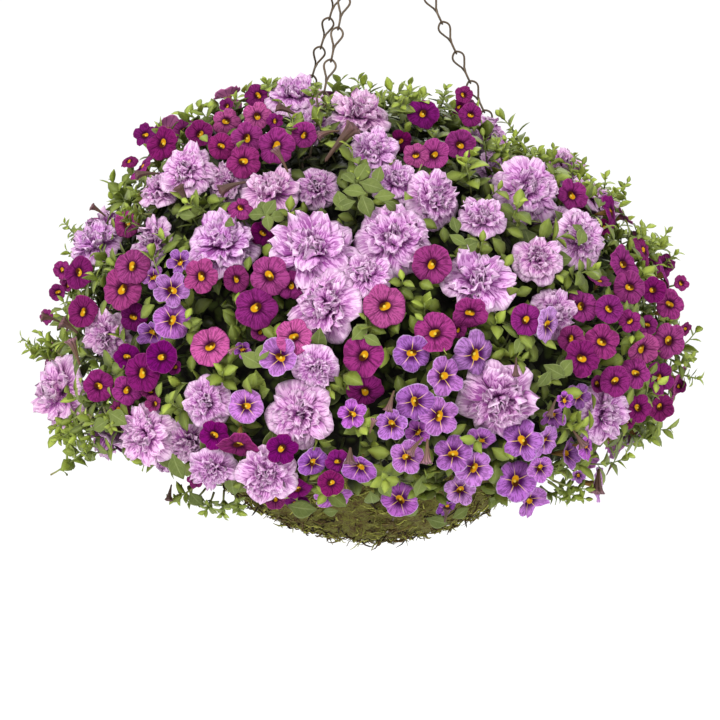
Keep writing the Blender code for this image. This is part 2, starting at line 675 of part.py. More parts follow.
def layout():
    """Blooms of the front, read from the picture, then those of the back, which repeat them mirrored.

    Each is a list: kind, middle, facing, radius, turn about its own axis."""
    draw = np.random.default_rng(SEED)
    blooms = []
    for kind, sort in enumerate(KINDS):
        for sunk, places in ((0.0, sort.outer), (INNER_SINK, sort.inner)):
            for x, y, width, height in places:
                hanging = HANGING_INSET if y > HANGING_Y else 1.0
                middle = seen_at(x, y, (sort.inset + sunk) * hanging)
                radius = max(sort.least, max(width, height) * PIXEL / 2)
                facing = facing_of(x, y, width, height, mound_normal(middle))
                blooms.append([kind, middle, facing, radius, draw.uniform(0, 2 * math.pi)])
    front = list(blooms)
    for kind, middle, facing, radius, turn in front:
        mirrored = middle * (1, -1, 1) + draw.normal(0, MIRROR_SHIFT, 3)
        kept = draw.random() < MIRRORED_SHARE
        new_turn = draw.uniform(0, 2 * math.pi)
        if mirrored[1] < BACK_STARTS or not kept:
            continue
        near = min(np.linalg.norm(mirrored - other[1]) / (radius + other[3]) for other in blooms)
        if near > MIRROR_NEAREST:
            normal = mound_normal(mirrored)
            blooms.append([kind, mirrored, unit(0.5 * facing * (1, -1, 1) + 0.5 * normal), radius, new_turn])
    fill_sides(blooms, draw)
    settle(blooms)
    return blooms


def fill_sides(blooms, draw):
    """Adds blooms of the nearest kind where the sides and the back are still bare."""
    added = 0
    for _ in range(SIDE_TRIES):
        height = draw.uniform(MOUND_HEIGHTS[3], MOUND_HEIGHTS[-3])
        angle = draw.uniform(0, 2 * math.pi)
        reach = mound_reach(math.sin(angle), height)
        point = np.array((reach * math.sin(angle), -reach * math.cos(angle), height - DROP))
        gaps = [np.linalg.norm(point - other[1]) - other[3] for other in blooms]
        kind = blooms[int(np.argmin(gaps))][0]
        radius = SIDE_RADII[kind] * draw.uniform(0.9, 1.1)
        turn = draw.uniform(0, 2 * math.pi)
        if point[1] < SIDE_FRONT or min(gaps) < radius + SIDE_SPACE or added >= SIDE_BLOOMS:
            continue
        normal = mound_normal(point)
        blooms.append([kind, point - KINDS[kind].inset * normal, normal, radius, turn])
        added += 1


def settle(blooms):
    """Blooms that would meet move apart, mostly inwards and outwards, so that they overlap as scales do."""
    middles = np.array([bloom[1] for bloom in blooms])
    starts = middles.copy()
    bodies = np.array([bloom[3] * KINDS[bloom[0]].body for bloom in blooms])
    normals = np.array([mound_normal(middle) for middle in middles])
    for _ in range(SETTLE_ROUNDS):
        apart = middles[:, None] - middles[None, :]
        far = np.linalg.norm(apart, axis=2) + np.eye(len(blooms))
        lack = np.maximum(0.0, bodies[:, None] + bodies[None, :] - far)
        np.fill_diagonal(lack, 0.0)
        push = (apart / far[..., None] * lack[..., None]).sum(axis=1) * SETTLE_PUSH
        depth = (push * normals).sum(axis=1, keepdims=True) * normals
        middles += SETTLE_DEPTH * depth + SETTLE_ASIDE * (push - depth)
        shift = middles - starts
        length = np.linalg.norm(shift, axis=1, keepdims=True)
        middles = starts + shift * np.minimum(1.0, SETTLE_FARTHEST / np.maximum(length, 1e-9))
    for bloom, middle in zip(blooms, middles):
        bloom[1] = middle


# Solids of blooms and leaves

def ring_points(middle, across, other, along, radius, lift, count, turn):
    """Points round a middle. Radius and lift may be lists, which repeat round the ring."""
    radius = np.resize(radius, count)
    lift = np.resize(lift, count)
    angles = turn + 2 * np.pi * np.arange(count) / count
    return [
        middle + r * (math.cos(a) * across + math.sin(a) * other) + z * along
        for a, r, z in zip(angles, radius, lift)
    ]


def zip_rings(first, second):
    """Triangles between two rings of any counts, given as vertex numbers. The second lies further along."""
    faces = []
    i = j = 0
    m, n = len(first), len(second)
    while i < m or j < n:
        if j * m > i * n or j >= n:
            faces.append((first[i % m], first[(i + 1) % m], second[j % n]))
            i += 1
        else:
            faces.append((first[i % m], second[(j + 1) % n], second[j % n]))
            j += 1
    return faces


def skin(root, rings, tip):
    """A closed solid from a root point through rings to a tip point."""
    points = [root]
    numbers = []
    for ring in rings:
        numbers.append(list(range(len(points), len(points) + len(ring))))
        points += ring
    points.append(tip)
    last = len(points) - 1
    faces = [(0, b, a) for a, b in zip(numbers[0], numbers[0][1:] + numbers[0][:1])]
    for first, second in zip(numbers, numbers[1:]):
        faces += zip_rings(first, second)
    faces += [(a, b, last) for a, b in zip(numbers[-1], numbers[-1][1:] + numbers[-1][:1])]
    return points, faces


def bloom_solid(kind, middle, facing, radius, turn, hub):
    """A bloom on its stalk, whose root runs into the hub of its spray. It never looks back at the hub."""
    away = unit(middle - hub)
    lean = max(0.0, LEAST_LEAN - np.dot(facing, away))
    facing = unit(facing + LEAN_BACK * lean * away)
    across = side_of(facing)
    other = np.cross(facing, across)
    neck, rings, mouth = bloom_shape(kind, radius)
    solid_rings = []
    for size, lift, corners, offset in rings:
        size = np.multiply(size, radius)
        lift = np.multiply(lift, radius)
        solid_rings.append(ring_points(middle, across, other, facing, size, lift, corners, turn + offset))
    root = hub + ROOT_PAST_HUB * unit(hub - middle - neck * radius * facing)
    return skin(root, solid_rings, middle + mouth * radius * facing)


def bloom_shape(kind, radius):
    if KINDS[kind].name == "lilac_petunia":
        return DOUBLE_SHAPE
    if radius < BUD_RADIUS:
        return BUD_SHAPE
    return LOBED_SHAPE if radius >= LOBED_RADIUS else PLAIN_SHAPE


def hub_solid(middle, radius=HUB_RADIUS):
    """The small crown where the stalks of a spray meet: eight-sided."""
    corners = [middle + radius * np.roll((side, 0, 0), axis) for axis in range(3) for side in (1, -1)]
    faces = []
    for a in (0, 1):
        for b in (2, 3):
            for c in (4, 5):
                faces.append((a, b, c) if (a + b + c) % 2 == 0 else (a, c, b))
    return corners, faces


def leaf_solid(root, base, tip, width, normal):
    """A pointed oval leaf, ridged along its middle on both faces, on a stalk from its root."""
    along = unit(tip - base)
    across = unit(np.cross(normal, along))
    up = np.cross(along, across)
    half = base + LEAF_WIDEST * (tip - base)
    aside = across * width / 2
    rise = up * LEAF_THICKNESS
    stalk = ring_points(base, across, up, along, LEAF_STALK, 0.0, 3, math.radians(30))
    return skin(root, [stalk, [half + aside, half + 1.5 * rise, half - aside, half - rise]], tip)


# Telling whether solids meet

class Placed:
    """A solid with its search tree and its box."""

    def __init__(self, solid, owner):
        self.solid = solid
        self.owner = owner
        points = np.array(solid[0])
        self.low = points.min(axis=0)
        self.high = points.max(axis=0)
        self.tree = BVHTree.FromPolygons([Vector(p) for p in points], solid[1])
        self.head = None

    def meets(self, other):
        if (self.low > other.high).any() or (other.low > self.high).any():
            return False
        return bool(self.tree.overlap(other.tree))


def meets_any(placed, others):
    return any(other.owner != placed.owner and placed.meets(other) for other in others)


def solid_of(made):
    """Points and faces of an object that has no modifiers left."""
    points = [np.array(v.co) for v in made.data.vertices]
    return points, [tuple(p.vertices) for p in made.data.polygons]


# Inner growth

def sector_solid(first_turn, last_turn):
    """The inner growth from one turn to another: the section carried round, with flat ends."""
    chain_turns = [turn % 360 for _, turn, _ in CHAIN_TURNS]
    ends = []
    for side, turn in ((1, first_turn), (-1, last_turn)):
        gap = CHAIN_SLOT if turn % 360 in chain_turns else SECTOR_GAP
        ends.append(end_section(math.radians(turn), side * gap / 2))
    points = ends[0]
    for turn in np.linspace(first_turn, last_turn, SECTOR_STEPS + 1)[1:-1]:
        points += [on_turn(reach, turn, height) for reach, height in CORE_SECTION]
    points += ends[1]
    count = len(CORE_SECTION)
    faces = [tuple(range(count)), tuple(reversed(range(SECTOR_STEPS * count, (SECTOR_STEPS + 1) * count)))]
    for step in range(SECTOR_STEPS):
        a, b = step * count, (step + 1) * count
        for k in range(count):
            n = (k + 1) % count
            faces.append((a + n, a + k, b + k, b + n))
    return points, faces


def end_section(angle, offset):
    """The section on a plane beside the axis, so that neighbours keep an even gap between them."""
    out = np.array((math.sin(angle), -math.cos(angle), 0.0))
    aside = np.array((math.cos(angle), math.sin(angle), 0.0))
    points = []
    for reach, height in CORE_SECTION:
        level = math.sqrt(reach**2 - offset**2)
        points.append(out * level + aside * offset + np.array((0, 0, height - DROP)))
    return points


# Sprays of blooms

def clusters(points, count):
    """Which of so many neighbourhoods each point belongs to: seeds far apart, then their means."""
    seeds = [points[0]]
    while len(seeds) < count:
        far = np.min([np.linalg.norm(points - seed, axis=1) for seed in seeds], axis=0)
        seeds.append(points[int(np.argmax(far))])
    seeds = np.array(seeds)
    for _ in range(CLUSTER_ROUNDS):
        nearest = np.argmin(np.linalg.norm(points[:, None] - seeds[None], axis=2), axis=1)
        for k in range(count):
            if (nearest == k).any():
                seeds[k] = points[nearest == k].mean(axis=0)
    return nearest


def hub_places(middles, core_tree, draw):
    """Places on the inner growth under a group of blooms where their hub may sit."""
    middle = np.mean(middles, axis=0)
    places = []
    for spread in HUB_SPREADS:
        outward = unit(middle + draw.normal(0, 1, 3) * spread - from_middle())
        hit, normal, _, _ = core_tree.ray_cast(Vector(from_middle() + outward * DROP), Vector(-outward))
        if hit is None or np.dot(np.array(normal), outward) < LEAST_OUTWARD:
            continue
        normal = np.array(normal)
        corners = np.array(hub_solid(np.zeros(3))[0])
        places.append(np.array(hit) + normal * (FIT_GAP + (-corners @ normal).max()))
    return places


def fit_bloom(bloom, hub, owner, others, moves):
    """The bloom as a solid clear of all others, moved in or out and made smaller as far as it must be.
    Its head also stays clear of the heads of its own spray."""
    kind, middle, facing, radius, turn = bloom
    outward = mound_normal(middle)
    for depth, size in moves:
        place = middle + depth * outward
        stub = place - radius * size * facing
        spare = radius * size + SPARE
        head = Placed(bloom_solid(kind, place, facing, spare, turn, stub), HEADS)
        if any(o.head and head.meets(o.head) for o in others):
            continue
        if meets_any(Placed(bloom_solid(kind, place, facing, spare, turn, hub), owner), others):
            continue
        placed = Placed(bloom_solid(kind, place, facing, radius * size, turn, hub), owner)
        if not meets_any(placed, others):
            placed.head = head
            return placed
    return None


def grow_sprays(blooms, core_tree, others):
    """Groups the blooms of each kind into sprays; each spray's stalks meet in a hub on the inner growth."""
    draw = np.random.default_rng(SEED + 1)
    sprays = []
    waiting = []
    for kind, sort in enumerate(KINDS):
        own = [bloom for bloom in blooms if bloom[0] == kind]
        groups = clusters(np.array([bloom[1] for bloom in own]), sort.sprays)
        for group in range(sort.sprays):
            members = [bloom for bloom, number in zip(own, groups) if number == group]
            owner = f"{sort.name}_{group + 1:02d}"
            place, hub = best_hub(owner, members, core_tree, draw, others)
            if hub is None:
                waiting += members
                continue
            spray = Spray(owner, kind, place, hub)
            sprays.append(spray)
            others.append(hub)
            waiting += [bloom for bloom in members if not spray.takes(bloom, others)]
    for bloom in waiting:
        same = [spray for spray in sprays if spray.kind == bloom[0]]
        same.sort(key=lambda spray: np.linalg.norm(spray.place - bloom[1]))
        any(spray.takes(bloom, others) for spray in same[:NEIGHBOURS])
    return sprays


def best_hub(owner, members, core_tree, draw, others):
    """The place for a hub from which the most blooms can be reached with hardly a move."""
    best = (-1, None, None)
    for place in hub_places([bloom[1] for bloom in members], core_tree, draw):
        hub = Placed(hub_solid(place), owner)
        if meets_any(hub, others):
            continue
        fits = sum(fit_bloom(b, place, owner, others, BLOOM_MOVES[:3]) is not None for b in members)
        if fits > best[0]:
            best = (fits, place, hub)
    return best[1:]


class Spray:
    """A spray of one kind: the place of its hub, and the solids that are joined into it."""

    def __init__(self, name, kind, place, hub):
        self.name = name
        self.kind = kind
        self.place = place
        self.solids = [hub.solid]

    def takes(self, bloom, others):
        """Adds the bloom if there is room for it, and says so."""
        placed = fit_bloom(bloom, self.place, self.name, others, BLOOM_MOVES)
        if placed is None:
            return False
        self.solids.append(placed.solid)
        others.append(placed)
        return True


# Foliage

def grow_leaves(sectors, others):
    """Leaves that stand out of each sector of the inner growth, between the blooms and past them."""
    draw = np.random.default_rng(SEED + 2)
    leaves = {name: [] for name, _ in sectors}
    for name, (points, faces) in sectors:
        points = np.array(points)
        for _ in range(LEAF_TRIES):
            if len(leaves[name]) >= LEAVES_A_SECTOR:
                break
            corners = points[list(faces[draw.integers(2, len(faces))])]
            root = draw.dirichlet(np.ones(len(corners))) @ corners
            normal = unit(np.cross(corners[1] - corners[0], corners[2] - corners[0]))
            outward = unit(root - from_middle())
            if np.dot(normal, outward) < LEAST_OUTWARD:
                continue
            way = unit(outward + draw.normal(0, LEAF_SWING, 3) + np.array((0, 0, LEAF_RISE)))
            far = 0.0
            while far < LEAF_FARTHEST and mound_excess(root + way * far) < 0:
                far += LEAF_STEP
            length = draw.uniform(*LEAF_LENGTH)
            tip = root + way * (far + draw.uniform(*LEAF_PAST_MOUND))
            droop = unit(way + draw.normal(0, LEAF_DROOP, 3))
            base = tip - droop * length
            blade_up = unit(np.cross(np.cross(droop, outward), droop))
            width = length * draw.uniform(*LEAF_WIDTH)
            inside = root - normal * ROOT_DEPTH
            spare = leaf_solid(inside, base - droop * SPARE, tip + droop * SPARE, width + 2 * SPARE, blade_up)
            placed = Placed(leaf_solid(inside, base, tip, width, blade_up), name)
            if not meets_any(placed, others) and not meets_any(Placed(spare, name), others):
                leaves[name].append(placed.solid)
                others.append(placed)
    return leaves


def build():
    for old in list(bpy.data.objects):
        bpy.data.objects.remove(old)
    steel = material("painted_wire", (0.055, 0.042, 0.032), 0.45, 0.6)
    moss = material("moss", (0.115, 0.125, 0.035), 0.95)
    soil = material("potting_soil", (0.035, 0.022, 0.014), 0.95)
    green = material("foliage", (0.105, 0.215, 0.045), 0.6)
    petals = (
        material("lilac_petals", (0.52, 0.31, 0.62), 0.6),
        material("magenta_petals", (0.36, 0.018, 0.235), 0.55),
        material("violet_petals", (0.33, 0.13, 0.56), 0.6),
    )
    wire_basket(steel)
    moss_liner(moss)
    potting_soil(soil)
    hanger_hook(steel)
    for name, turn, along_eye in CHAIN_TURNS:
        chain(name, turn, along_eye, steel)
    others = [Placed(solid_of(made), made.name) for made in list(bpy.data.objects)]

    sectors = []
    ends = SECTOR_TURNS[1:] + (SECTOR_TURNS[0] + 360,)
    for number, (first, last) in enumerate(zip(SECTOR_TURNS, ends), 1):
        sectors.append((f"foliage_{number:02d}", sector_solid(first, last)))
    all_points, all_faces = [], []
    for name, solid in sectors:
        all_faces += [tuple(len(all_points) + n for n in face) for face in solid[1]]
        all_points += solid[0]
        others.append(Placed(solid, name))
    core_tree = BVHTree.FromPolygons([Vector(p) for p in all_points], all_faces)

    for spray in grow_sprays(layout(), core_tree, others):
        join(spray.name, spray.solids, petals[spray.kind])
    leaves = grow_leaves(sectors, others)
    for name, solid in sectors:
        join(name, [solid] + leaves[name], green)


build()
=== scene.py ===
"""Calibrachoa hanging basket, dressed: petals, leaves, stalks, moss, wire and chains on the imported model.

Metres, +Z up, the front of the basket faces -Y and the origin is where the hook bears on its support.
"""

import math

import bpy
import numpy as np
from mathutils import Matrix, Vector


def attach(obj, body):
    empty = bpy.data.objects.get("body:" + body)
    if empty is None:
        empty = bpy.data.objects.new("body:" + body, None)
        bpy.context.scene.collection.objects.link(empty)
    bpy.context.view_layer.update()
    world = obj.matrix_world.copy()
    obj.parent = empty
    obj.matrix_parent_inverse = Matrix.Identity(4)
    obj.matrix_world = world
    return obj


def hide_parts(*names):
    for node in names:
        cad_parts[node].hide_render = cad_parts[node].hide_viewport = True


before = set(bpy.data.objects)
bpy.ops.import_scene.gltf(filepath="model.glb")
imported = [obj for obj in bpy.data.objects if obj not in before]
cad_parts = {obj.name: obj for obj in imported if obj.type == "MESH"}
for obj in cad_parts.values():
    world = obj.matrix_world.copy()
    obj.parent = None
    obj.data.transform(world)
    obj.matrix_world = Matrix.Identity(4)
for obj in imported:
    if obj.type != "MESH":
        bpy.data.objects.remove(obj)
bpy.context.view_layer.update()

bl_info = {
    "name": "Calibrachoa hanging basket",
    "version": (1, 0, 0),
    "blender": (4, 5, 0),
    "location": "View3D > Sidebar > Basket",
    "description": "Blooms, leaves, moss, wire and chains of a hanging basket, and its stage",
    "category": "Object",
}

# Where the blooms grow. These values and functions repeat those of the solids.
DROP = 0.600
BOWL_RADIUS = 0.176
BOWL_CENTRE = 0.178
MOUND_HEIGHTS = (0.020, 0.031, 0.047, 0.063, 0.079, 0.096, 0.120, 0.160, 0.201, 0.242, 0.274,
                 0.307, 0.331, 0.351, 0.376, 0.386)
REACH_LEFT = (0.120, 0.152, 0.166, 0.180, 0.224, 0.258, 0.270, 0.264, 0.252, 0.246, 0.212,
              0.192, 0.180, 0.128, 0.080, 0.010)
REACH_RIGHT = (0.130, 0.158, 0.182, 0.190, 0.206, 0.240, 0.250, 0.256, 0.252, 0.226, 0.205,
               0.152, 0.108, 0.090, 0.032, 0.010)
MOUND_MIDDLE = 0.170
PIXEL = 0.0008
PICTURE_MIDDLE = 360
AXIS_X = 372
EQUATOR_Y = 300
HANGING_Y = 455
VIEW_TILT = math.radians(10)
VIEW_DISTANCE = 2.6
VIEW_HEIGHT = 0.1443
SENSOR = 0.036

# Blooms: x and y of the middle, width and height in the picture
LILAC_OUTER = (
    (294, 94, 57, 38), (359, 114, 62, 42), (374, 150, 49, 43), (191, 172, 56, 50), (160, 188, 48, 28),
    (270, 190, 55, 40), (397, 183, 48, 42), (432, 198, 47, 58), (530, 196, 67, 70), (482, 216, 48, 32),
    (581, 239, 46, 59), (538, 258, 50, 45), (95, 241, 54, 42), (222, 241, 71, 55), (313, 250, 83, 68),
    (393, 238, 72, 68), (366, 275, 50, 35), (324, 306, 53, 69), (479, 280, 71, 52), (58, 392, 51, 76),
    (206, 402, 47, 49), (313, 374, 45, 33), (299, 412, 62, 65), (501, 404, 75, 67), (144, 435, 52, 59),
    (267, 475, 58, 54), (604, 414, 44, 58),
)
LILAC_INNER = (
    (313, 127, 30, 24), (221, 180, 30, 35), (316, 187, 42, 41), (490, 133, 24, 28), (498, 170, 30, 26),
    (554, 221, 30, 30), (153, 241, 28, 50), (555, 315, 45, 50), (107, 335, 50, 45), (188, 443, 47, 38),
    (212, 470, 46, 35), (565, 168, 25, 25),
)
MAGENTA_OUTER = (
    (162, 143, 34, 34), (200, 134, 29, 29), (226, 121, 30, 30), (227, 106, 15, 15), (258, 95, 27, 27),
    (257, 116, 31, 31), (275, 121, 14, 14), (221, 146, 28, 28), (247, 138, 33, 33), (276, 146, 36, 36),
    (243, 161, 33, 33), (304, 135, 27, 27), (423, 113, 32, 32), (471, 115, 25, 25), (460, 145, 31, 31),
    (416, 155, 26, 26), (434, 155, 30, 30), (145, 135, 25, 25), (78, 272, 34, 34), (132, 266, 37, 37),
    (122, 289, 40, 40), (201, 276, 36, 36), (269, 276, 38, 38), (256, 307, 41, 41), (83, 312, 34, 34),
    (210, 346, 39, 39), (432, 264, 38, 38), (385, 306, 40, 40), (435, 333, 40, 40), (526, 320, 33, 33),
    (293, 338, 35, 35), (127, 357, 27, 27), (142, 373, 38, 38), (162, 357, 31, 31), (98, 386, 34, 34),
    (127, 390, 31, 31), (214, 435, 29, 29), (284, 445, 30, 30), (331, 483, 27, 27), (363, 356, 25, 40),
    (470, 313, 36, 20), (240, 208, 27, 15), (238, 446, 43, 14), (298, 490, 30, 18), (275, 499, 22, 22),
    (572, 195, 30, 34), (612, 212, 16, 35), (624, 264, 28, 37), (664, 266, 27, 27), (630, 287, 34, 34),
    (653, 290, 27, 27), (670, 304, 32, 32), (609, 309, 28, 28), (602, 342, 37, 37), (669, 341, 36, 36),
    (642, 349, 25, 34), (582, 358, 36, 36), (636, 373, 30, 30), (660, 378, 33, 33), (615, 381, 32, 32),
    (638, 408, 28, 28), (660, 407, 29, 29), (630, 321, 24, 24),
)
MAGENTA_INNER = (
    (183, 131, 26, 26), (129, 161, 20, 14), (463, 96, 20, 20), (460, 106, 20, 20), (400, 141, 24, 24),
    (263, 233, 26, 26), (127, 224, 28, 28), (236, 279, 26, 26), (292, 284, 28, 28), (62, 270, 22, 22),
    (60, 292, 22, 22), (66, 286, 15, 15), (133, 317, 30, 30), (47, 317, 20, 20), (458, 330, 16, 16),
    (365, 392, 36, 22), (175, 367, 18, 18), (151, 391, 22, 22), (118, 410, 24, 24), (155, 404, 20, 20),
    (338, 462, 24, 24), (296, 504, 28, 16), (195, 480, 16, 16), (604, 227, 20, 20), (650, 264, 18, 18),
    (681, 283, 14, 14), (599, 280, 25, 16), (581, 306, 33, 33), (647, 325, 23, 23), (685, 329, 12, 12),
    (570, 338, 28, 28), (597, 384, 22, 22), (627, 421, 14, 14), (679, 386, 12, 12), (261, 332, 20, 20),
)
VIOLET_OUTER = (
    (180, 262, 26, 26), (172, 290, 35, 35), (172, 320, 37, 37), (281, 356, 37, 37), (246, 406, 34, 34),
    (412, 353, 36, 36), (476, 355, 45, 28), (444, 376, 36, 40), (415, 402, 38, 30), (439, 416, 38, 38),
    (392, 424, 30, 30), (407, 457, 34, 34), (453, 454, 36, 36), (474, 468, 36, 36), (520, 438, 40, 40),
    (545, 441, 32, 36), (548, 325, 20, 36), (460, 490, 32, 32), (400, 500, 37, 37), (516, 481, 40, 40),
    (587, 446, 22, 30), (564, 400, 22, 22), (352, 414, 29, 29),
)
VIOLET_INNER = (
    (153, 333, 30, 18), (153, 277, 24, 24), (243, 350, 20, 20), (418, 432, 24, 24), (481, 441, 30, 20),
    (530, 501, 36, 24), (540, 468, 26, 26), (567, 453, 16, 32), (578, 396, 26, 26), (598, 484, 20, 36),
    (578, 475, 18, 18), (552, 415, 26, 18), (313, 463, 30, 24), (360, 467, 33, 22), (333, 496, 40, 22),
    (447, 507, 24, 18),
)
KINDS = (  # outer and inner places, least radius, inset, body
    (LILAC_OUTER, LILAC_INNER, 0.0175, 0.014, 0.80),
    (MAGENTA_OUTER, MAGENTA_INNER, 0.0060, 0.007, 0.62),
    (VIOLET_OUTER, VIOLET_INNER, 0.0070, 0.007, 0.62),
)
LILAC, MAGENTA, VIOLET = range(3)
INNER_SINK = 0.012
MIRRORED_SHARE = 0.62
SIDE_BLOOMS = 42
SIDE_TRIES = 3000
SIDE_FRONT = -0.075
SIDE_SPACE = 0.005
SIDE_RADII = (0.0225, 0.0138, 0.0138)
SETTLING_ROUNDS = 60
LONGEST_SHIFT = 0.012
SEED = 41

# How rosy a bloom is, from 0 to 1, where it differs from its neighbours
TONES = {
    (226, 121): 0.95, (257, 116): 0.9, (400, 141): 0.0, (423, 113): 0.15, (416, 155): 0.8, (434, 155): 0.7,
    (201, 276): 0.95, (269, 276): 0.9, (210, 346): 1.0, (385, 306): 1.0, (293, 338): 1.0, (432, 264): 0.6,
    (435, 333): 0.65, (526, 320): 0.35, (256, 307): 0.3, (83, 312): 0.2, (122, 289): 0.3, (602, 342): 0.65,
    (669, 341): 0.8, (630, 287): 0.6, (609, 309): 0.15, (582, 358): 0.2, (642, 349): 0.9, (127, 357): 0.05,
    (162, 357): 0.05, (98, 386): 0.25, (214, 435): 0.0, (331, 483): 0.0, (363, 356): 0.55, (240, 208): 0.6,
    (263, 233): 0.0, (275, 499): 0.6, (298, 490): 0.1, (296, 504): 0.0, (284, 445): 0.1,
    (359, 114): 0.9, (538, 258): 0.8, (58, 392): 0.75, (270, 190): 0.7, (144, 435): 0.6, (206, 402): 0.5,
    (397, 183): 0.3, (222, 241): 0.1, (95, 241): 0.15, (479, 280): 0.2, (393, 238): 0.25, (294, 94): 0.3,
}

# Sprigs that stand out of the mound's outline: picture places of the tip and of the root
SPRIGS = (
    (19, 336, 58, 358), (38, 331, 62, 356), (26, 348, 60, 360), (55, 441, 90, 415), (84, 447, 98, 418),
    (50, 430, 84, 412), (113, 428, 104, 408), (130, 186, 152, 205), (127, 208, 152, 214), (64, 222, 84, 240),
    (265, 80, 276, 97), (316, 84, 311, 102), (408, 89, 415, 107), (398, 98, 406, 114), (447, 87, 440, 107),
    (495, 140, 504, 162), (515, 134, 510, 160), (537, 149, 545, 172), (553, 147, 551, 172),
    (575, 154, 570, 180), (590, 178, 598, 200), (629, 181, 606, 206), (616, 190, 604, 206),
    (641, 224, 640, 252), (669, 230, 650, 252), (678, 252, 655, 268), (701, 379, 672, 370),
    (694, 356, 672, 366), (588, 500, 548, 482), (592, 490, 552, 480), (170, 500, 196, 486),
    (188, 504, 206, 488), (222, 516, 224, 490), (240, 513, 234, 490), (120, 213, 140, 226),
    (583, 163, 578, 188), (655, 238, 645, 258), (606, 176, 602, 200), (505, 139, 508, 164),
    (565, 500, 540, 486), (205, 512, 214, 492), (66, 446, 92, 416), (330, 96, 326, 118),
)
# Large leaves: place, length in the picture and turn of the tip, in degrees
LARGE_LEAVES = (
    (362, 172, 26, 60), (372, 186, 28, -20), (354, 190, 26, 160), (366, 206, 24, -70), (348, 176, 22, 120),
    (385, 196, 22, 10), (177, 468, 30, -75), (232, 486, 28, -100), (302, 509, 30, -10), (438, 522, 26, -20),
    (461, 513, 20, 30), (262, 206, 18, 110), (270, 208, 20, 60), (256, 214, 20, 170), (278, 216, 18, 10),
    (268, 222, 18, -80), (582, 236, 22, 60), (578, 228, 14, 130), (372, 500, 24, -80), (385, 488, 22, -60),
    (420, 486, 24, 80), (497, 500, 20, -30), (252, 360, 26, -30), (262, 352, 22, 60), (556, 372, 26, 150),
    (566, 368, 24, 40), (545, 380, 22, -120), (360, 332, 22, 45), (372, 340, 20, -30), (470, 245, 22, 30),
    (458, 240, 20, 150), (520, 345, 20, 60), (330, 512, 18, 200), (412, 512, 20, -60), (100, 425, 26, 200),
    (118, 418, 24, -30), (196, 500, 22, -60), (600, 200, 20, 70), (455, 225, 18, 100), (345, 205, 22, 200),
    (378, 176, 22, 75), (340, 200, 24, 100), (392, 206, 18, -30), (228, 222, 18, 150), (186, 215, 20, 170),
)
# Withered trumpets: place, length and width in the picture, turn of the mouth, darkness
BUDS = (
    (341, 140, 44, 19, 45, 0.9), (281, 158, 26, 11, 122, 0.6), (288, 110, 26, 12, 160, 1.0),
    (147, 173, 26, 11, 190, 0.9), (232, 185, 30, 14, 205, 1.0), (184, 196, 26, 13, 120, 1.0),
    (98, 210, 18, 9, 150, 0.7), (75, 350, 26, 14, 110, 0.4), (69, 326, 20, 15, 150, 0.8),
    (427, 450, 28, 12, 268, 0.2), (391, 400, 24, 10, 255, 0.5), (516, 366, 22, 8, 268, 0.9),
    (553, 406, 24, 8, 250, 0.8), (579, 438, 22, 12, 300, 0.7), (598, 480, 30, 17, 265, 0.6),
    (610, 468, 14, 6, 60, 0.9), (170, 492, 20, 9, 262, 1.0), (328, 132, 24, 10, 200, 0.6),
    (372, 425, 14, 8, 70, 0.1), (350, 455, 18, 14, 268, 0.8), (416, 445, 24, 10, 235, 0.4),
    (235, 348, 16, 6, 215, 0.0), (446, 514, 14, 10, 80, 0.9), (50, 318, 20, 11, 170, 0.8),
)


def from_srgb(red, green, blue):
    """A colour as linear light, from its screen values of 0 to 255."""
    values = np.array((red, green, blue)) / 255.0
    linear = np.where(values <= 0.04045, values / 12.92, ((values + 0.055) / 1.055) ** 2.4)
    return tuple(float(v) for v in linear)


def colour_setting(name, description, *screen):
    return bpy.props.FloatVectorProperty(
        name=name, description=description, default=from_srgb(*screen),
        subtype="COLOR", size=3, min=0.0, max=1.0,
    )


def length_setting(name, description, metres):
    return bpy.props.FloatProperty(
        name=name, description=description, default=metres, min=0.0, subtype="DISTANCE", unit="LENGTH"
    )


def count_setting(name, description, number):
    return bpy.props.IntProperty(name=name, description=description, default=number, min=1)


class BasketSizes(bpy.types.PropertyGroup):
    """Sizes and numbers of the pieces."""

    link_wire: length_setting("Chain wire", "Radius of the chains' wire", 0.00085)
    rim_wire: length_setting("Rim wire", "Radius of the basket's rim", 0.0020)
    rib_wire: length_setting("Rib wire", "Radius of the basket's ribs and hoop", 0.0013)
    strands: count_setting("Moss strands", "Loose strands on the moss", 3000)
    strand_length: length_setting("Strand length", "Mean length of a moss strand", 0.0105)
    sprigs: count_setting("Sprigs", "Leafy shoot tips over the whole mound", 820)
    leaf_length: length_setting("Leaf length", "Length of a calibrachoa leaf", 0.0142)
    broad_leaf_length: length_setting("Petunia leaf length", "Length of a petunia leaf", 0.0205)
    floor_depth: length_setting("Floor", "How far the floor is under the hook", 1.35)


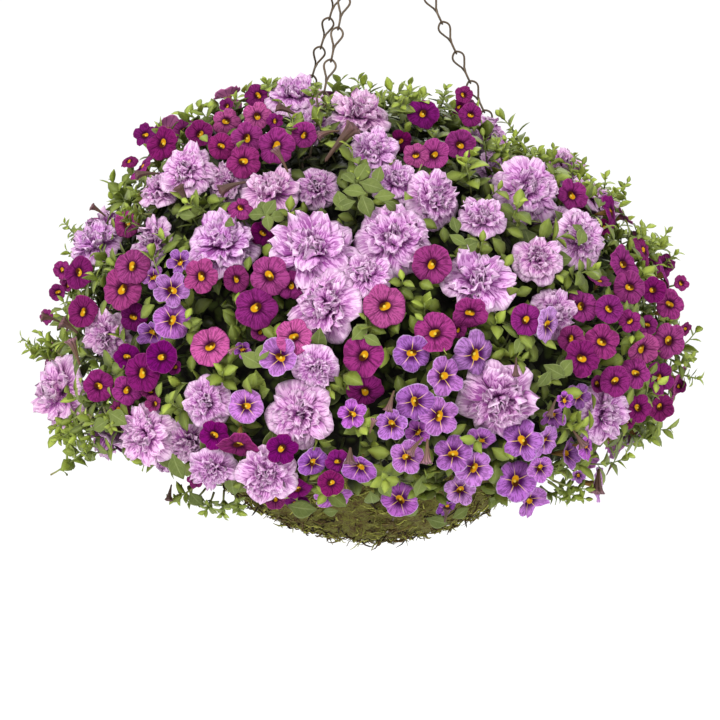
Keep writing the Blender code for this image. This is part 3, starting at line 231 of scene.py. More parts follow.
class BasketColours(bpy.types.PropertyGroup):
    """Colours of the finishes."""

    magenta: colour_setting("Magenta", "Deep magenta petals", 126, 8, 92)
    rose: colour_setting("Rose", "Rosy petals", 198, 90, 158)
    plum: colour_setting("Plum", "Ring round the throat", 44, 3, 30)
    gold: colour_setting("Gold", "Throat", 212, 150, 22)
    violet: colour_setting("Violet", "Violet petals", 196, 104, 208)
    star: colour_setting("Star", "Star lines of the violet petals", 226, 186, 84)
    lilac: colour_setting("Lilac", "Double petals", 242, 186, 246)
    blush: colour_setting("Blush", "Rosier double petals", 252, 202, 234)
    vein: colour_setting("Vein", "Veins of the double petals", 146, 42, 146)
    leaf: colour_setting("Leaf", "Calibrachoa leaves", 108, 124, 32)
    tip: colour_setting("Shoot tip", "Youngest leaves", 184, 204, 76)
    sage: colour_setting("Sage", "Petunia leaves", 78, 92, 42)
    moss: colour_setting("Moss", "Green moss", 118, 118, 50)
    bark: colour_setting("Bark", "Brown strands of the moss", 92, 72, 40)
    wire: colour_setting("Wire", "Weathered wire", 98, 84, 68)
    soil: colour_setting("Soil", "Potting soil", 52, 38, 28)
    floor: colour_setting("Floor", "Stage floor", 252, 252, 252)


# Vectors

def unit(vectors):
    """The vectors brought to a length of 1."""
    return vectors / np.maximum(np.linalg.norm(vectors, axis=-1, keepdims=True), 1e-12)


def side_of(directions):
    """Unit vectors square to the directions."""
    other = np.where(np.abs(directions[..., :1]) < 0.8, (1.0, 0.0, 0.0), (0.0, 1.0, 0.0))
    return unit(np.cross(directions, other))


def square_to(way, other):
    """The part of other that is square to the unit way, as a unit vector."""
    return unit(other - way * (other * way).sum(axis=-1, keepdims=True))


def listed(*stacks):
    """Stacks of vectors, each as one list of vectors."""
    return [stack.reshape(-1, 3) for stack in stacks]


def bent(starts, middles, ends, share):
    """Points along a curve from start to end that leans towards the middle, as a parabola does."""
    return (1 - share) ** 2 * starts + 2 * share * (1 - share) * middles + share**2 * ends


def turned_frames(facing, turn):
    """Two unit vectors square to each facing, turned about it: cosine and sine of the turn mix them."""
    across = side_of(facing)
    other = np.cross(facing, across)
    c, s = np.cos(turn)[..., None], np.sin(turn)[..., None]
    return c * across + s * other, c * other - s * across


def on_turn(reach, turn, height):
    """Points at a reach from the axis, a turn in degrees from the front and a height on the basket."""
    angle = np.radians(turn)
    reach, height, angle = np.broadcast_arrays(reach, height, angle)
    return np.stack((reach * np.sin(angle), -reach * np.cos(angle), height - DROP), axis=-1)


def lumps(points, scale, seed, octaves=3):
    """Smooth bumps from -1 to 1: sums of sines of the place along slanted directions, finer and weaker each
    time."""
    draw = np.random.default_rng(seed)
    total = np.zeros(points.shape[:-1])
    for octave in range(octaves):
        ways = unit(draw.normal(0, 1, (5, 3))) * (2 * np.pi / scale) * 1.9**octave
        total += np.sin(points @ ways.T + draw.uniform(0, 6.3, 5)).sum(axis=-1) * 0.55**octave / 3.2
    return total


# The mound

def mound_reach(turn_sine, height):
    """How far the mound goes out from the axis at a height: its left and right outline, mixed by the turn."""
    left = np.interp(height, MOUND_HEIGHTS, REACH_LEFT)
    right = np.interp(height, MOUND_HEIGHTS, REACH_RIGHT)
    return left * (1 - turn_sine) / 2 + right * (1 + turn_sine) / 2


def mound_excess(points):
    """How far points lie outside the mound's outline, measured level."""
    reach = np.hypot(points[..., 0], points[..., 1])
    sine = points[..., 0] / np.maximum(reach, 1e-6)
    return reach - mound_reach(sine, points[..., 2] + DROP)


def mound_middle():
    """The place inside the mound that its ways out start from."""
    return np.array((0.0, 0.0, MOUND_MIDDLE - DROP))


def mound_normal(points):
    """Which way the mound faces: the slope of its excess, mixed with the way from its middle."""
    step = 0.004
    slopes = [mound_excess(points + axis) - mound_excess(points - axis) for axis in step * np.eye(3)]
    return unit(unit(np.stack(slopes, axis=-1)) + 0.6 * unit(points - mound_middle()))


def view_axes():
    """To the right, ahead and up, as the camera sees them."""
    ahead = np.array((0.0, math.cos(VIEW_TILT), -math.sin(VIEW_TILT)))
    up = np.array((0.0, math.sin(VIEW_TILT), math.cos(VIEW_TILT)))
    return np.array((1.0, 0.0, 0.0)), ahead, up


def view_target():
    """The place that the middle of the picture shows."""
    return np.array(((PICTURE_MIDDLE - AXIS_X) * PIXEL, 0.0, VIEW_HEIGHT - DROP))


def seen_at(x, y, inset):
    """Where the line of sight through a picture point meets the mound sunk by the inset, or passes nearest."""
    right, ahead, up = view_axes()
    eye = view_target() - VIEW_DISTANCE * ahead
    way = VIEW_DISTANCE * ahead + PIXEL * ((x - PICTURE_MIDDLE) * right - (y - PICTURE_MIDDLE) * up)
    line = eye + np.linspace(0.87, 1.04, 500)[:, None] * way
    outward = line - mound_middle()
    far = np.linalg.norm(outward, axis=-1, keepdims=True)
    excess = mound_excess(line + outward * (inset / np.maximum(far, 1e-6)))
    inside = np.nonzero(excess < 0)[0]
    return line[inside[0] if len(inside) else np.argmin(excess)]


def facing_of(x, y, width, height, normal):
    """A bloom seen as an oval is tilted outwards from the middle; it also follows the mound a little."""
    right, ahead, up = view_axes()
    aside = math.copysign(math.acos(min(1.0, width / height)), x - AXIS_X)
    rise = math.copysign(math.acos(min(1.0, height / width)), EQUATOR_Y - y)
    seen = math.sin(aside) * right + math.sin(rise) * up - math.cos(aside) * math.cos(rise) * ahead
    return unit(0.68 * unit(seen) + 0.32 * normal)


def layout():
    """The blooms: kinds, middles, facings, radii, turns and tones, one array each."""
    draw = np.random.default_rng(SEED)
    blooms = []
    for kind, (outer, inner, least, inset, _) in enumerate(KINDS):
        for sunk, places in ((0.0, outer), (INNER_SINK, inner)):
            for x, y, width, height in places:
                hanging = 0.4 if y > HANGING_Y else 1.0
                middle = seen_at(x, y, (inset + sunk) * hanging)
                radius = max(least, max(width, height) * PIXEL / 2)
                facing = facing_of(x, y, width, height, mound_normal(middle))
                tone = TONES.get((x, y), 0.4)
                blooms.append([kind, middle, facing, radius, draw.uniform(0, 2 * math.pi), tone])
    for kind, middle, facing, radius, _, tone in list(blooms):
        mirrored = middle * (1, -1, 1) + draw.normal(0, 0.004, 3)
        kept = draw.random() < MIRRORED_SHARE
        new_turn = draw.uniform(0, 2 * math.pi)
        if mirrored[1] < 0.02 or not kept:
            continue
        near = min(np.linalg.norm(mirrored - other[1]) / (radius + other[3]) for other in blooms)
        if near > 0.8:
            faced = unit(0.5 * facing * (1, -1, 1) + 0.5 * mound_normal(mirrored))
            blooms.append([kind, mirrored, faced, radius, new_turn, tone])
    fill_sides(blooms, draw)
    kinds, middles, facings, radii, turns, tones = (np.array(column) for column in zip(*blooms))
    return kinds, settled(kinds, middles, radii), facings, radii, turns, tones


def fill_sides(blooms, draw):
    """Adds blooms of the nearest kind where the sides and the back are still bare."""
    added = 0
    for _ in range(SIDE_TRIES):
        height = draw.uniform(MOUND_HEIGHTS[3], MOUND_HEIGHTS[-3])
        angle = draw.uniform(0, 2 * math.pi)
        reach = mound_reach(math.sin(angle), height)
        point = np.array((reach * math.sin(angle), -reach * math.cos(angle), height - DROP))
        gaps = np.linalg.norm([point - other[1] for other in blooms], axis=1) - [other[3] for other in blooms]
        kind = blooms[int(np.argmin(gaps))][0]
        radius = SIDE_RADII[kind] * draw.uniform(0.9, 1.1)
        turn = draw.uniform(0, 2 * math.pi)
        if point[1] < SIDE_FRONT or min(gaps) < radius + SIDE_SPACE or added >= SIDE_BLOOMS:
            continue
        normal = mound_normal(point)
        blooms.append([kind, point - KINDS[kind][3] * normal, normal, radius, turn, 0.4])
        added += 1


def settled(kinds, middles, radii):
    """Blooms that would meet move apart, mostly inwards and outwards, so that they overlap as scales do."""
    starts = middles.copy()
    middles = middles.copy()
    bodies = radii * np.array([KINDS[kind][4] for kind in kinds])
    normals = mound_normal(middles)
    for _ in range(SETTLING_ROUNDS):
        apart = middles[:, None] - middles[None, :]
        far = np.linalg.norm(apart, axis=2) + np.eye(len(middles))
        lack = np.maximum(0.0, bodies[:, None] + bodies[None, :] - far)
        np.fill_diagonal(lack, 0.0)
        push = (apart / far[..., None] * lack[..., None]).sum(axis=1) * 0.25
        depth = (push * normals).sum(axis=1, keepdims=True) * normals
        middles += 0.9 * depth + 0.3 * (push - depth)
        shift = middles - starts
        length = np.linalg.norm(shift, axis=1, keepdims=True)
        middles = starts + shift * np.minimum(1.0, LONGEST_SHIFT / np.maximum(length, 1e-9))
    return middles


def depth_light(points):
    """How open a place is, for the painted shade, from 0 deep in the mound to 1 at its outline: a smooth step
    of the excess, and at least as open as its height under the mound's top."""
    share = np.clip((mound_excess(points) + 0.055) / 0.050, 0.0, 1.0)
    share = np.maximum(share, np.clip((points[..., 2] + DROP - MOUND_HEIGHTS[-1] + 0.060) / 0.040, 0.0, 0.8))
    return share * share * (3 - 2 * share)


# Meshes

class Skin:
    """Collects stacks of like grids and makes one mesh of them."""

    def __init__(self):
        self.points, self.loops, self.sizes, self.uvs, self.values = [], [], [], [], []
        self.count = 0

    def add(self, grids, along=None, tube=True, caps=True, **values):
        """Grids shaped (count, rows, columns, 3). A tube's columns run round the way of its rows; the others
        run from the middle of a mouth outwards. Along gives each row's V, even steps from 0 to 1 where it is
        left out, and U runs round from 0 to 1."""
        count, rows, columns = grids.shape[:3]
        along = np.linspace(0, 1, rows) if along is None else np.array(along)
        index = self.count + np.arange(count * rows * columns).reshape(count, rows, columns)
        beside = np.roll(index, -1, axis=2)
        near, far = slice(None, -1), slice(1, None)
        u = np.arange(columns) / columns
        u_next = u + 1.0 / columns
        v, v_next = along[:-1, None], along[1:, None]
        if tube:
            corners = (index[:, near], beside[:, near], beside[:, far], index[:, far])
            corner_uv = ((u, v), (u_next, v), (u_next, v_next), (u, v_next))
        else:
            corners = (index[:, near], index[:, far], beside[:, far], beside[:, near])
            corner_uv = ((u, v), (u, v_next), (u_next, v_next), (u_next, v))
        quads = np.stack(corners, axis=-1).reshape(-1, 4)
        uv = np.stack([np.stack(np.broadcast_arrays(*pair), axis=-1) for pair in corner_uv], axis=-2)
        self.loops.append(quads.reshape(-1))
        self.sizes.append(np.full(len(quads), 4))
        self.uvs.append(np.tile(uv.reshape(-1, 2), (count, 1)))
        if caps:
            for row, backwards in ((0, tube), (rows - 1, not tube)):
                cap = index[:, row, ::-1] if backwards else index[:, row]
                cap_u = u[::-1] if backwards else u
                self.loops.append(cap.reshape(-1))
                self.sizes.append(np.full(count, columns))
                flat = np.stack((cap_u, np.full(columns, along[row])), axis=-1)
                self.uvs.append(np.tile(flat, (count, 1)))
        self.points.append(grids.reshape(-1, 3))
        self.values.append({
            name: np.repeat(np.broadcast_to(value, (count,)), rows * columns) for name, value in values.items()
        })
        self.count += count * rows * columns

    def piece(self, name, finish, nodes=(), painted_shade=False):
        """The mesh as a piece of the basket."""
        points = np.concatenate(self.points)
        loops = np.concatenate(self.loops)
        sizes = np.concatenate(self.sizes)
        mesh = bpy.data.meshes.new(name)
        mesh.vertices.add(len(points))
        mesh.vertices.foreach_set("co", points.astype(np.float32).ravel())
        mesh.loops.add(len(loops))
        mesh.loops.foreach_set("vertex_index", loops.astype(np.int32))
        mesh.polygons.add(len(sizes))
        mesh.polygons.foreach_set("loop_start", (np.cumsum(sizes) - sizes).astype(np.int32))
        mesh.polygons.foreach_set("use_smooth", np.ones(len(sizes), bool))
        layer = mesh.uv_layers.new(name="surface")
        layer.data.foreach_set("uv", np.concatenate(self.uvs).astype(np.float32).ravel())
        fields = {key: np.concatenate([value[key] for value in self.values]) for key in self.values[0]}
        # Pieces with painted shade carry the light field, and their finishes darken deep in the mound.
        if painted_shade:
            fields["light"] = depth_light(points)
        for key, value in fields.items():
            attribute = mesh.attributes.new(key, "FLOAT", "POINT")
            attribute.data.foreach_set("value", value.astype(np.float32))
        mesh.update(calc_edges=True)
        mesh.validate()
        mesh.materials.append(finish)
        made = bpy.data.objects.new(name, mesh)
        bpy.context.scene.collection.objects.link(made)
        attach(made, "root")
        if nodes:
            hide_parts(*nodes)
        return made


def nodes_named(start):
    return [name for name in sorted(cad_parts) if name.startswith(start)]


def swept(paths, radius, sides, closed=False):
    """Round tubes along paths shaped (count, rows, 3). Each ring is square to its path and turned as little
    as possible from the last; on a closed path the turn left over is spread along it."""
    paths = np.asarray(paths, float)
    if closed:
        tangents = unit(np.roll(paths, -1, axis=1) - np.roll(paths, 1, axis=1))
    else:
        tangents = unit(np.gradient(paths, axis=1))
    rows = paths.shape[1]
    across = [side_of(tangents[:, 0])]
    for row in range(1, rows):
        across.append(square_to(tangents[:, row], across[-1]))
    across = np.stack(across, axis=1)
    other = np.cross(tangents, across)
    slip = np.zeros(len(paths))
    if closed:
        back = square_to(tangents[:, 0], across[:, -1])
        slip = np.arctan2((back * other[:, 0]).sum(axis=-1), (back * across[:, 0]).sum(axis=-1))
    angle = 2 * np.pi * np.arange(sides) / sides - (slip[:, None] * np.arange(rows) / rows)[..., None]
    radius = np.broadcast_to(np.asarray(radius, float), paths.shape[:2])[..., None, None]
    rings = np.cos(angle)[..., None] * across[:, :, None] + np.sin(angle)[..., None] * other[:, :, None]
    grids = paths[:, :, None] + radius * rings
    return np.concatenate((grids, grids[:, :1]), axis=1) if closed else grids


def revolved(section, columns, rough=0.0, scale=0.03, seed=1):
    """A section of (reach, height) carried round the axis, with lumps pushed out along its own normal."""
    section = np.array(section, float)
    turns = -360.0 * np.arange(columns) / columns
    grid = on_turn(section[:, :1], turns[None], section[:, 1:])
    slope = np.gradient(section, axis=0)
    outward = unit(np.stack((slope[:, 1], -slope[:, 0]), axis=-1))
    level, rise = outward[:, :1], np.repeat(outward[:, 1:], columns, axis=1)
    angle = np.radians(turns)
    normal = np.stack((level * np.sin(angle), -level * np.cos(angle), rise), axis=-1)
    fade = np.clip(section[:, 0] / 0.02, 0, 1)[:, None, None]
    return (grid + normal * fade * rough * lumps(grid, scale, seed)[..., None])[None]


def blades(base, along, up, length, width, outline, curl, thickness, columns=4, fold=0.0, ruffle=0.0, waves=2.0,
           phase=0.0, fray=0.0):
    """Leaves or petals as flat closed tubes. The middle line bends by the curl from along towards up; the half
    width follows the outline; the edges rise by the fold and swing up and down in waves across the blade."""
    outline = np.array(outline)
    rows = len(outline)
    share = np.linspace(0, 1, rows)
    count = len(base)
    length, width, curl, fold, ruffle, waves, phase = (
        np.broadcast_to(np.asarray(value, float), (count,))[:, None]
        for value in (length, width, curl, fold, ruffle, waves, phase)
    )
    bend = (curl * share)[..., None]
    step = np.cos(bend) * along[:, None] + np.sin(bend) * up[:, None]
    normal = np.cos(bend) * up[:, None] - np.sin(bend) * along[:, None]
    middle = np.cumsum((step[:, 1:] + step[:, :-1]) / 2, axis=1) * length[..., None] / (rows - 1)
    middle = base[:, None] + np.concatenate((np.zeros((count, 1, 3)), middle), axis=1)
    across = np.cross(up, along)
    angle = 2 * np.pi * np.arange(columns) / columns
    x, z = np.cos(angle), np.sin(angle)
    half = (width / 2 * outline)[..., None]
    swing = np.sin(waves[..., None] * np.pi * x + phase[..., None] + 2.5 * share[None, :, None])
    rise = thickness * z * np.minimum(1.0, outline * 3)[None, :, None] + fold[..., None] * half * np.abs(x)
    rise = rise + (ruffle * length)[..., None] * swing * (share**1.2)[None, :, None]
    reach = fray * length[..., None] * np.sin(5 * waves[..., None] * x + 3 * phase[..., None])
    reach = reach * (share**3)[None, :, None]
    return (middle[:, :, None] + (half * x)[..., None] * across[:, None, None]
            + rise[..., None] * normal[:, :, None] + reach[..., None] * step[:, :, None])


# Petal surfaces: radius and height as shares of the bloom's radius, and V, from the throat to the rim and back
SINGLE_PROFILE = (
    (0.03, -0.13, 0.00), (0.09, -0.16, 0.08), (0.16, -0.115, 0.16), (0.25, -0.050, 0.26), (0.39, -0.010, 0.40),
    (0.58, 0.02, 0.60), (0.80, 0.02, 0.80), (0.94, -0.01, 0.94), (1.00, -0.045, 1.00), (0.95, -0.065, 1.06),
    (0.68, -0.045, 1.32), (0.38, -0.08, 1.56), (0.22, -0.20, 1.72), (0.14, -0.58, 1.90), (0.05, -1.00, 2.00),
)
DOUBLE_PROFILE = (
    (0.04, -0.12, 0.00), (0.16, -0.10, 0.15), (0.32, -0.04, 0.32), (0.48, 0.01, 0.48), (0.64, 0.03, 0.64),
    (0.79, 0.02, 0.79), (0.91, -0.02, 0.91), (1.00, -0.07, 1.00), (0.96, -0.10, 1.05), (0.66, -0.09, 1.35),
    (0.38, -0.16, 1.62), (0.24, -0.32, 1.80), (0.14, -0.62, 1.92), (0.05, -0.80, 2.00),
)


def corollas(middle, facing, radius, turn, profile, columns, notch, cup, wave, frill, shut, draw):
    """Five-lobed funnels: the profile turned about the facing. The rim draws in at the five seams by the notch,
    the face rises with the square of the radius by the cup, and waves of two, three, ten and thirteen to the
    turn lift it more towards the rim. Shut pulls the rim forwards and in, as on a half-open bloom."""
    count = len(middle)
    reach, height = (np.array(profile)[:, k][None, :, None] for k in (0, 1))
    angle = (2 * np.pi * np.arange(columns) / columns)[None, None]
    lobe = np.abs(np.sin(2.5 * angle))
    rows = reach.shape[1]

    def each(values):
        return np.broadcast_to(np.asarray(values, float), (count,))[:, None, None]

    rim = np.clip((reach - 0.35) / 0.65, 0, 1) ** 1.5
    phases = draw.uniform(0, 2 * np.pi, (5, count, 1, 1))
    r = reach * (1 - each(notch) * (1 - lobe) ** 1.6 * rim)
    r = r * (1 + each(frill) * 0.5 * rim * np.sin(7 * angle + phases[0]))
    r = r * (1 - 0.45 * each(shut) * rim)
    z = height + each(cup) * reach**2
    z = z + each(wave) * reach**2 * (np.sin(2 * angle + phases[1]) + 0.7 * np.sin(3 * angle + phases[2]))
    z = z + each(frill) * reach**3 * (np.sin(10 * angle + phases[3]) + 0.8 * np.sin(13 * angle + phases[4]))
    z = z - 0.05 * rim * (1 - lobe) ** 2
    z = z + 0.018 * np.sin(np.pi * np.clip(reach, 0, 1)) * np.cos(10 * angle) + 0.85 * each(shut) * reach
    r = np.broadcast_to(r, (count, rows, columns)) * each(radius)
    z = np.broadcast_to(z, (count, rows, columns)) * each(radius)
    across, other = turned_frames(facing, turn)
    ring = np.cos(angle)[..., None] * across[:, None, None] + np.sin(angle)[..., None] * other[:, None, None]
    return middle[:, None, None] + r[..., None] * ring + z[..., None] * facing[:, None, None]


# Shading
WHITE = (1.0, 1.0, 1.0)
BLACK = (0.0, 0.0, 0.0)
# How often the noise of the veins changes round a single bloom, round a double's limb and across a blade
SINGLE_VEINS = 66.0
LIMB_VEINS = 84.0
BLADE_VEINS = 5.0


class Graph:
    """Short ways to add nodes to a tree."""

    def __init__(self, tree):
        self.tree = tree
        self.column = 0

    def node(self, kind, **settings):
        made = self.tree.nodes.new(kind)
        self.column += 1
        made.location = (self.column * 40 - 1200, -self.column * 18)
        for name, value in settings.items():
            setattr(made, name, value)
        return made

    def put(self, socket, value):
        if isinstance(value, bpy.types.NodeSocket):
            self.tree.links.new(value, socket)
        elif isinstance(value, (int, float)):
            socket.default_value = value
        else:
            socket.default_value = tuple(value) + (1.0,) * (len(socket.default_value) - len(value))

    def math(self, operation, *values):
        made = self.node("ShaderNodeMath", operation=operation)
        for socket, value in zip(made.inputs, values):
            self.put(socket, value)
        return made.outputs[0]

    def times(self, value, factor):
        return self.math("MULTIPLY", value, factor)

    def step(self, value, low, high):
        """0 below low, 1 above high, smooth between; falls where low is the greater."""
        made = self.node("ShaderNodeMapRange", interpolation_type="SMOOTHSTEP")
        down = low > high
        for name, number in (("Value", value), ("From Min", min(low, high)), ("From Max", max(low, high)),
                             ("To Min", 1.0 if down else 0.0), ("To Max", 0.0 if down else 1.0)):
            self.put(made.inputs[name], number)
        return made.outputs[0]

    def mix(self, share, first, second, blend="MIX"):
        made = self.node("ShaderNodeMix", data_type="RGBA", blend_type=blend)
        self.put(made.inputs[0], share)
        self.put(made.inputs[6], first)
        self.put(made.inputs[7], second)
        return made.outputs[2]

    def field(self, name):
        return self.node("ShaderNodeAttribute", attribute_name=name).outputs["Fac"]

    def surface(self):
        made = self.node("ShaderNodeSeparateXYZ")
        self.put(made.inputs[0], self.node("ShaderNodeUVMap", uv_map="surface").outputs[0])
        return made.outputs[0], made.outputs[1]

    def vector(self, x, y, z):
        made = self.node("ShaderNodeCombineXYZ")
        for socket, value in zip(made.inputs, (x, y, z)):
            self.put(socket, value)
        return made.outputs[0]

    def noise(self, vector, scale, detail=3.0, rough=0.6):
        made = self.node("ShaderNodeTexNoise")
        for name, value in (("Vector", vector), ("Scale", scale), ("Detail", detail), ("Roughness", rough)):
            self.put(made.inputs[name], value)
        return made.outputs[0]

    def place(self):
        return self.node("ShaderNodeTexCoord").outputs["Object"]

    def bump(self, height, strength, distance):
        made = self.node("ShaderNodeBump")
        made.inputs["Strength"].default_value = strength
        made.inputs["Distance"].default_value = distance
        self.put(made.inputs["Height"], height)
        return made.outputs[0]

    def group(self, tree, **inputs):
        made = self.node("ShaderNodeGroup", node_tree=tree)
        for name, value in inputs.items():
            self.put(made.inputs[name], value)
        return made.outputs

    def shaded(self, colour, least):
        """The colour as it is in the open, and darker with painted shade towards its least share deep in the
        mound.
        """
        return self.group(depth_shade(), Colour=colour, Least=least)[0]


class Finish(Graph):
    """The nodes of a new material."""

    def __init__(self, name):
        self.made = bpy.data.materials.new(name)
        self.made.use_nodes = True
        super().__init__(self.made.node_tree)

    def close(self, colour, rough, specular=0.5, relief=None, metallic=0.0):
        """Joins the nodes to the shader and gives the material. Relief is a height with its strength and
        distance."""
        sockets = self.tree.nodes["Principled BSDF"].inputs
        self.put(sockets["Base Color"], colour)
        self.put(sockets["Roughness"], rough)
        sockets["Specular IOR Level"].default_value = specular
        sockets["Metallic"].default_value = metallic
        if relief:
            self.put(sockets["Normal"], self.bump(*relief))
        return self.made


def new_group(name, inputs, outputs):
    """An empty node group, or the one that is there. Inputs and outputs are (name, kind)."""
    if name in bpy.data.node_groups:
        return bpy.data.node_groups[name], None, None
    tree = bpy.data.node_groups.new(name, "ShaderNodeTree")
    for way, sockets in (("INPUT", inputs), ("OUTPUT", outputs)):
        for title, kind in sockets:
            tree.interface.new_socket(title, in_out=way, socket_type=kind)
    graph = Graph(tree)
    return tree, graph, (graph.node("NodeGroupInput"), graph.node("NodeGroupOutput"))


def depth_shade():
    """Group: darkens a colour towards deep green shade where a surface lies deep in the mound."""
    tree, graph, ends = new_group(
        "Depth shade",
        (("Colour", "NodeSocketColor"), ("Least", "NodeSocketFloat")),
        (("Colour", "NodeSocketColor"),),
    )
    if graph:
        colour, least = (ends[0].outputs[k] for k in range(2))
        share = graph.math("MULTIPLY_ADD", graph.field("light"), graph.math("SUBTRACT", 1.0, least), least)
        shade = graph.mix(share, from_srgb(12, 14, 6), WHITE)
        graph.put(ends[1].inputs[0], graph.mix(1.0, colour, shade, "MULTIPLY"))
    return tree


def petal_veins():
    """Group: veins that run from the base of a petal to its rim. Lines is 1 on the five seams of a corolla,
    Fine is noise drawn out along the petal, so it reads as a net of thin veins."""
    tree, graph, ends = new_group(
        "Petal veins",
        (("Across", "NodeSocketFloat"), ("Along", "NodeSocketFloat"), ("Spread", "NodeSocketFloat")),
        (("Lines", "NodeSocketFloat"), ("Fine", "NodeSocketFloat")),
    )
    if graph:
        across, along, spread = (ends[0].outputs[k] for k in range(3))
        near = graph.math("PINGPONG", graph.times(across, 5.0), 0.5)
        graph.put(ends[1].inputs[0], graph.step(near, 0.085, 0.010))
        place = graph.vector(graph.times(across, spread), graph.times(along, 3.4),
                             graph.times(graph.field("shade"), 40.0))
        drawn = graph.noise(place, 1.0, 2.0, 0.6)
        graph.put(ends[1].inputs[1], graph.step(drawn, 0.47, 0.56))
    return tree


def corolla_finish(name, colours, base, turned, pale, star):
    """Petals of a single bloom: uneven golden throat, plum ring, seams and veins; the back is paler and ends in
    an olive tube with dark stripes. Star draws pale lines along the seams and round the rim."""
    graph = Finish(name)
    u, v = graph.surface()
    shade, tone = graph.field("shade"), graph.field("tone")
    veins = graph.group(petal_veins(), Across=u, Along=v, Spread=SINGLE_VEINS)
    front = graph.step(v, 1.02, 1.0)
    limb = graph.mix(graph.math("POWER", tone, 1.5), graph.mix(shade, base, turned), pale)
    limb = graph.mix(graph.math("PINGPONG", graph.times(shade, 3.0), 0.28), limb, BLACK)
    limb = graph.mix(graph.times(veins[1], 0.62), limb, graph.mix(0.75, limb, colours.plum))
    swing = graph.math("SINE", graph.math("MULTIPLY_ADD", u, 4 * math.pi, graph.times(shade, 40.0)))
    uneven = graph.math("MULTIPLY_ADD", swing, 0.055, v)
    rim = graph.step(v, 0.93, 0.99)
    if star:
        limb = graph.mix(graph.step(v, 0.66, 0.26), limb, from_srgb(64, 12, 74))
        line = graph.times(graph.step(veins[0], 0.55, 1.0), graph.step(v, 1.05, 0.55))
        ray = graph.mix(graph.step(v, 0.34, 0.70), colours.star, from_srgb(208, 150, 204))
        limb = graph.mix(line, limb, ray)
        limb = graph.mix(graph.times(rim, 0.55), limb, from_srgb(214, 190, 226))
    else:
        line = graph.times(veins[0], graph.step(v, 1.05, 0.45))
        limb = graph.mix(graph.times(line, 0.80), limb, colours.plum)
        limb = graph.mix(graph.times(rim, 0.30), limb, pale)
        limb = graph.mix(graph.step(v, 0.52, 0.20), limb, colours.plum)
    # A side of the throat, turned at random, is dark brown: its own brown and painted shade of the tube's near
    # wall.
    around = graph.math("SINE", graph.math("MULTIPLY_ADD", u, 2 * math.pi, graph.times(shade, 70.0)))
    throat = graph.mix(graph.step(around, -0.75, 0.35), from_srgb(74, 34, 12), colours.gold)
    throat = graph.mix(graph.step(v, 0.07, 0.03), throat, from_srgb(222, 196, 70))
    limb = graph.mix(graph.step(uneven, 0.250, 0.190), limb, throat)
    back = graph.mix(0.40, graph.mix(tone, base, pale), from_srgb(206, 140, 194))
    stripe = graph.step(graph.math("PINGPONG", graph.times(u, 10.0), 0.5), 0.16, 0.05)
    tube = graph.mix(graph.times(stripe, 0.75), from_srgb(150, 116, 62), from_srgb(66, 26, 42))
    back = graph.mix(graph.times(stripe, 0.40), back, from_srgb(80, 26, 70))
    back = graph.mix(graph.step(v, 1.55, 1.74), back, tube)
    colour = graph.mix(front, back, limb)
    return graph.close(graph.shaded(colour, 0.30), 0.75, 0.04, relief=(veins[1], 0.35, 0.0007))


def ruffle_finish(name, colours, blade):
    """Petals of a double bloom: pale rims, purple towards the base, and a net of dark veins. On a blade the
    veins lie across it, as far as the cosine of U."""
    graph = Finish(name)
    u, v = graph.surface()
    shade, tone = graph.field("shade"), graph.field("tone")
    if blade:
        u = graph.math("COSINE", graph.times(u, 2 * math.pi))
    veins = graph.group(petal_veins(), Across=u, Along=v, Spread=BLADE_VEINS if blade else LIMB_VEINS)
    along = graph.math("PINGPONG", v, 1.0)
    petal = graph.mix(tone, colours.lilac, colours.blush)
    petal = graph.mix(graph.times(shade, 0.40), petal, from_srgb(196, 122, 198))
    petal = graph.mix(graph.times(graph.step(along, 0.60, 1.0), 0.60), petal, from_srgb(252, 230, 248))
    net = graph.times(veins[1], graph.math("MULTIPLY_ADD", graph.step(along, 1.0, 0.45), 0.44, 0.36))
    petal = graph.mix(net, petal, colours.vein)
    petal = graph.mix(graph.times(graph.step(along, 0.60, 0.10), 0.72), petal, colours.vein)
    petal = graph.mix(graph.step(v, 1.62, 1.84), petal, from_srgb(82, 50, 50))
    return graph.close(graph.shaded(petal, 0.62), 0.70, 0.12, relief=(veins[1], 0.5, 0.0010))


def leaf_finish(name, green, young, margin, hairy):
    """Leaves: pale midrib, side veins as slanted waves, lighter tips, and a pale margin on hairy leaves."""
    graph = Finish(name)
    u, v = graph.surface()
    shade, tone = graph.field("shade"), graph.field("tone")
    x = graph.math("COSINE", graph.times(u, 2 * math.pi))
    wide = graph.math("ABSOLUTE", x)
    slant = graph.math("SUBTRACT", graph.times(v, 5.5), graph.times(wide, 1.4))
    ribs = graph.step(graph.math("PINGPONG", slant, 0.5), 0.10, 0.02)
    blade = graph.mix(tone, green, young)
    blade = graph.mix(graph.times(shade, 0.80), blade, graph.mix(0.60, blade, from_srgb(26, 44, 14)))
    patch = graph.noise(graph.place(), 260.0, 2.0)
    blade = graph.mix(graph.times(patch, 0.22), blade, from_srgb(184, 196, 104))
    blade = graph.mix(graph.times(ribs, 0.25), blade, graph.mix(0.5, blade, margin))
    blade = graph.mix(graph.times(graph.step(wide, 0.12, 0.02), 0.35), blade, margin)
    blade = graph.mix(graph.times(graph.step(wide, 0.90, 1.0), 0.55 if hairy else 0.30), blade, margin)
    return graph.close(graph.shaded(blade, 0.08), 0.60 if hairy else 0.48, 0.2 if hairy else 0.35,
                       relief=(graph.math("ADD", ribs, patch), 0.3, 0.0005))


def stalk_finish(name, green):
    """Green stalks with a fine hairy streak and a browner foot."""
    graph = Finish(name)
    _, v = graph.surface()
    streak = graph.noise(graph.place(), 420.0, 2.0)
    colour = graph.mix(graph.step(v, 0.5, 0.0), green, from_srgb(120, 108, 60))
    colour = graph.mix(graph.times(streak, 0.4), colour, from_srgb(190, 200, 120))
    return graph.close(graph.shaded(colour, 0.2), 0.6, relief=(streak, 0.3, 0.0004))


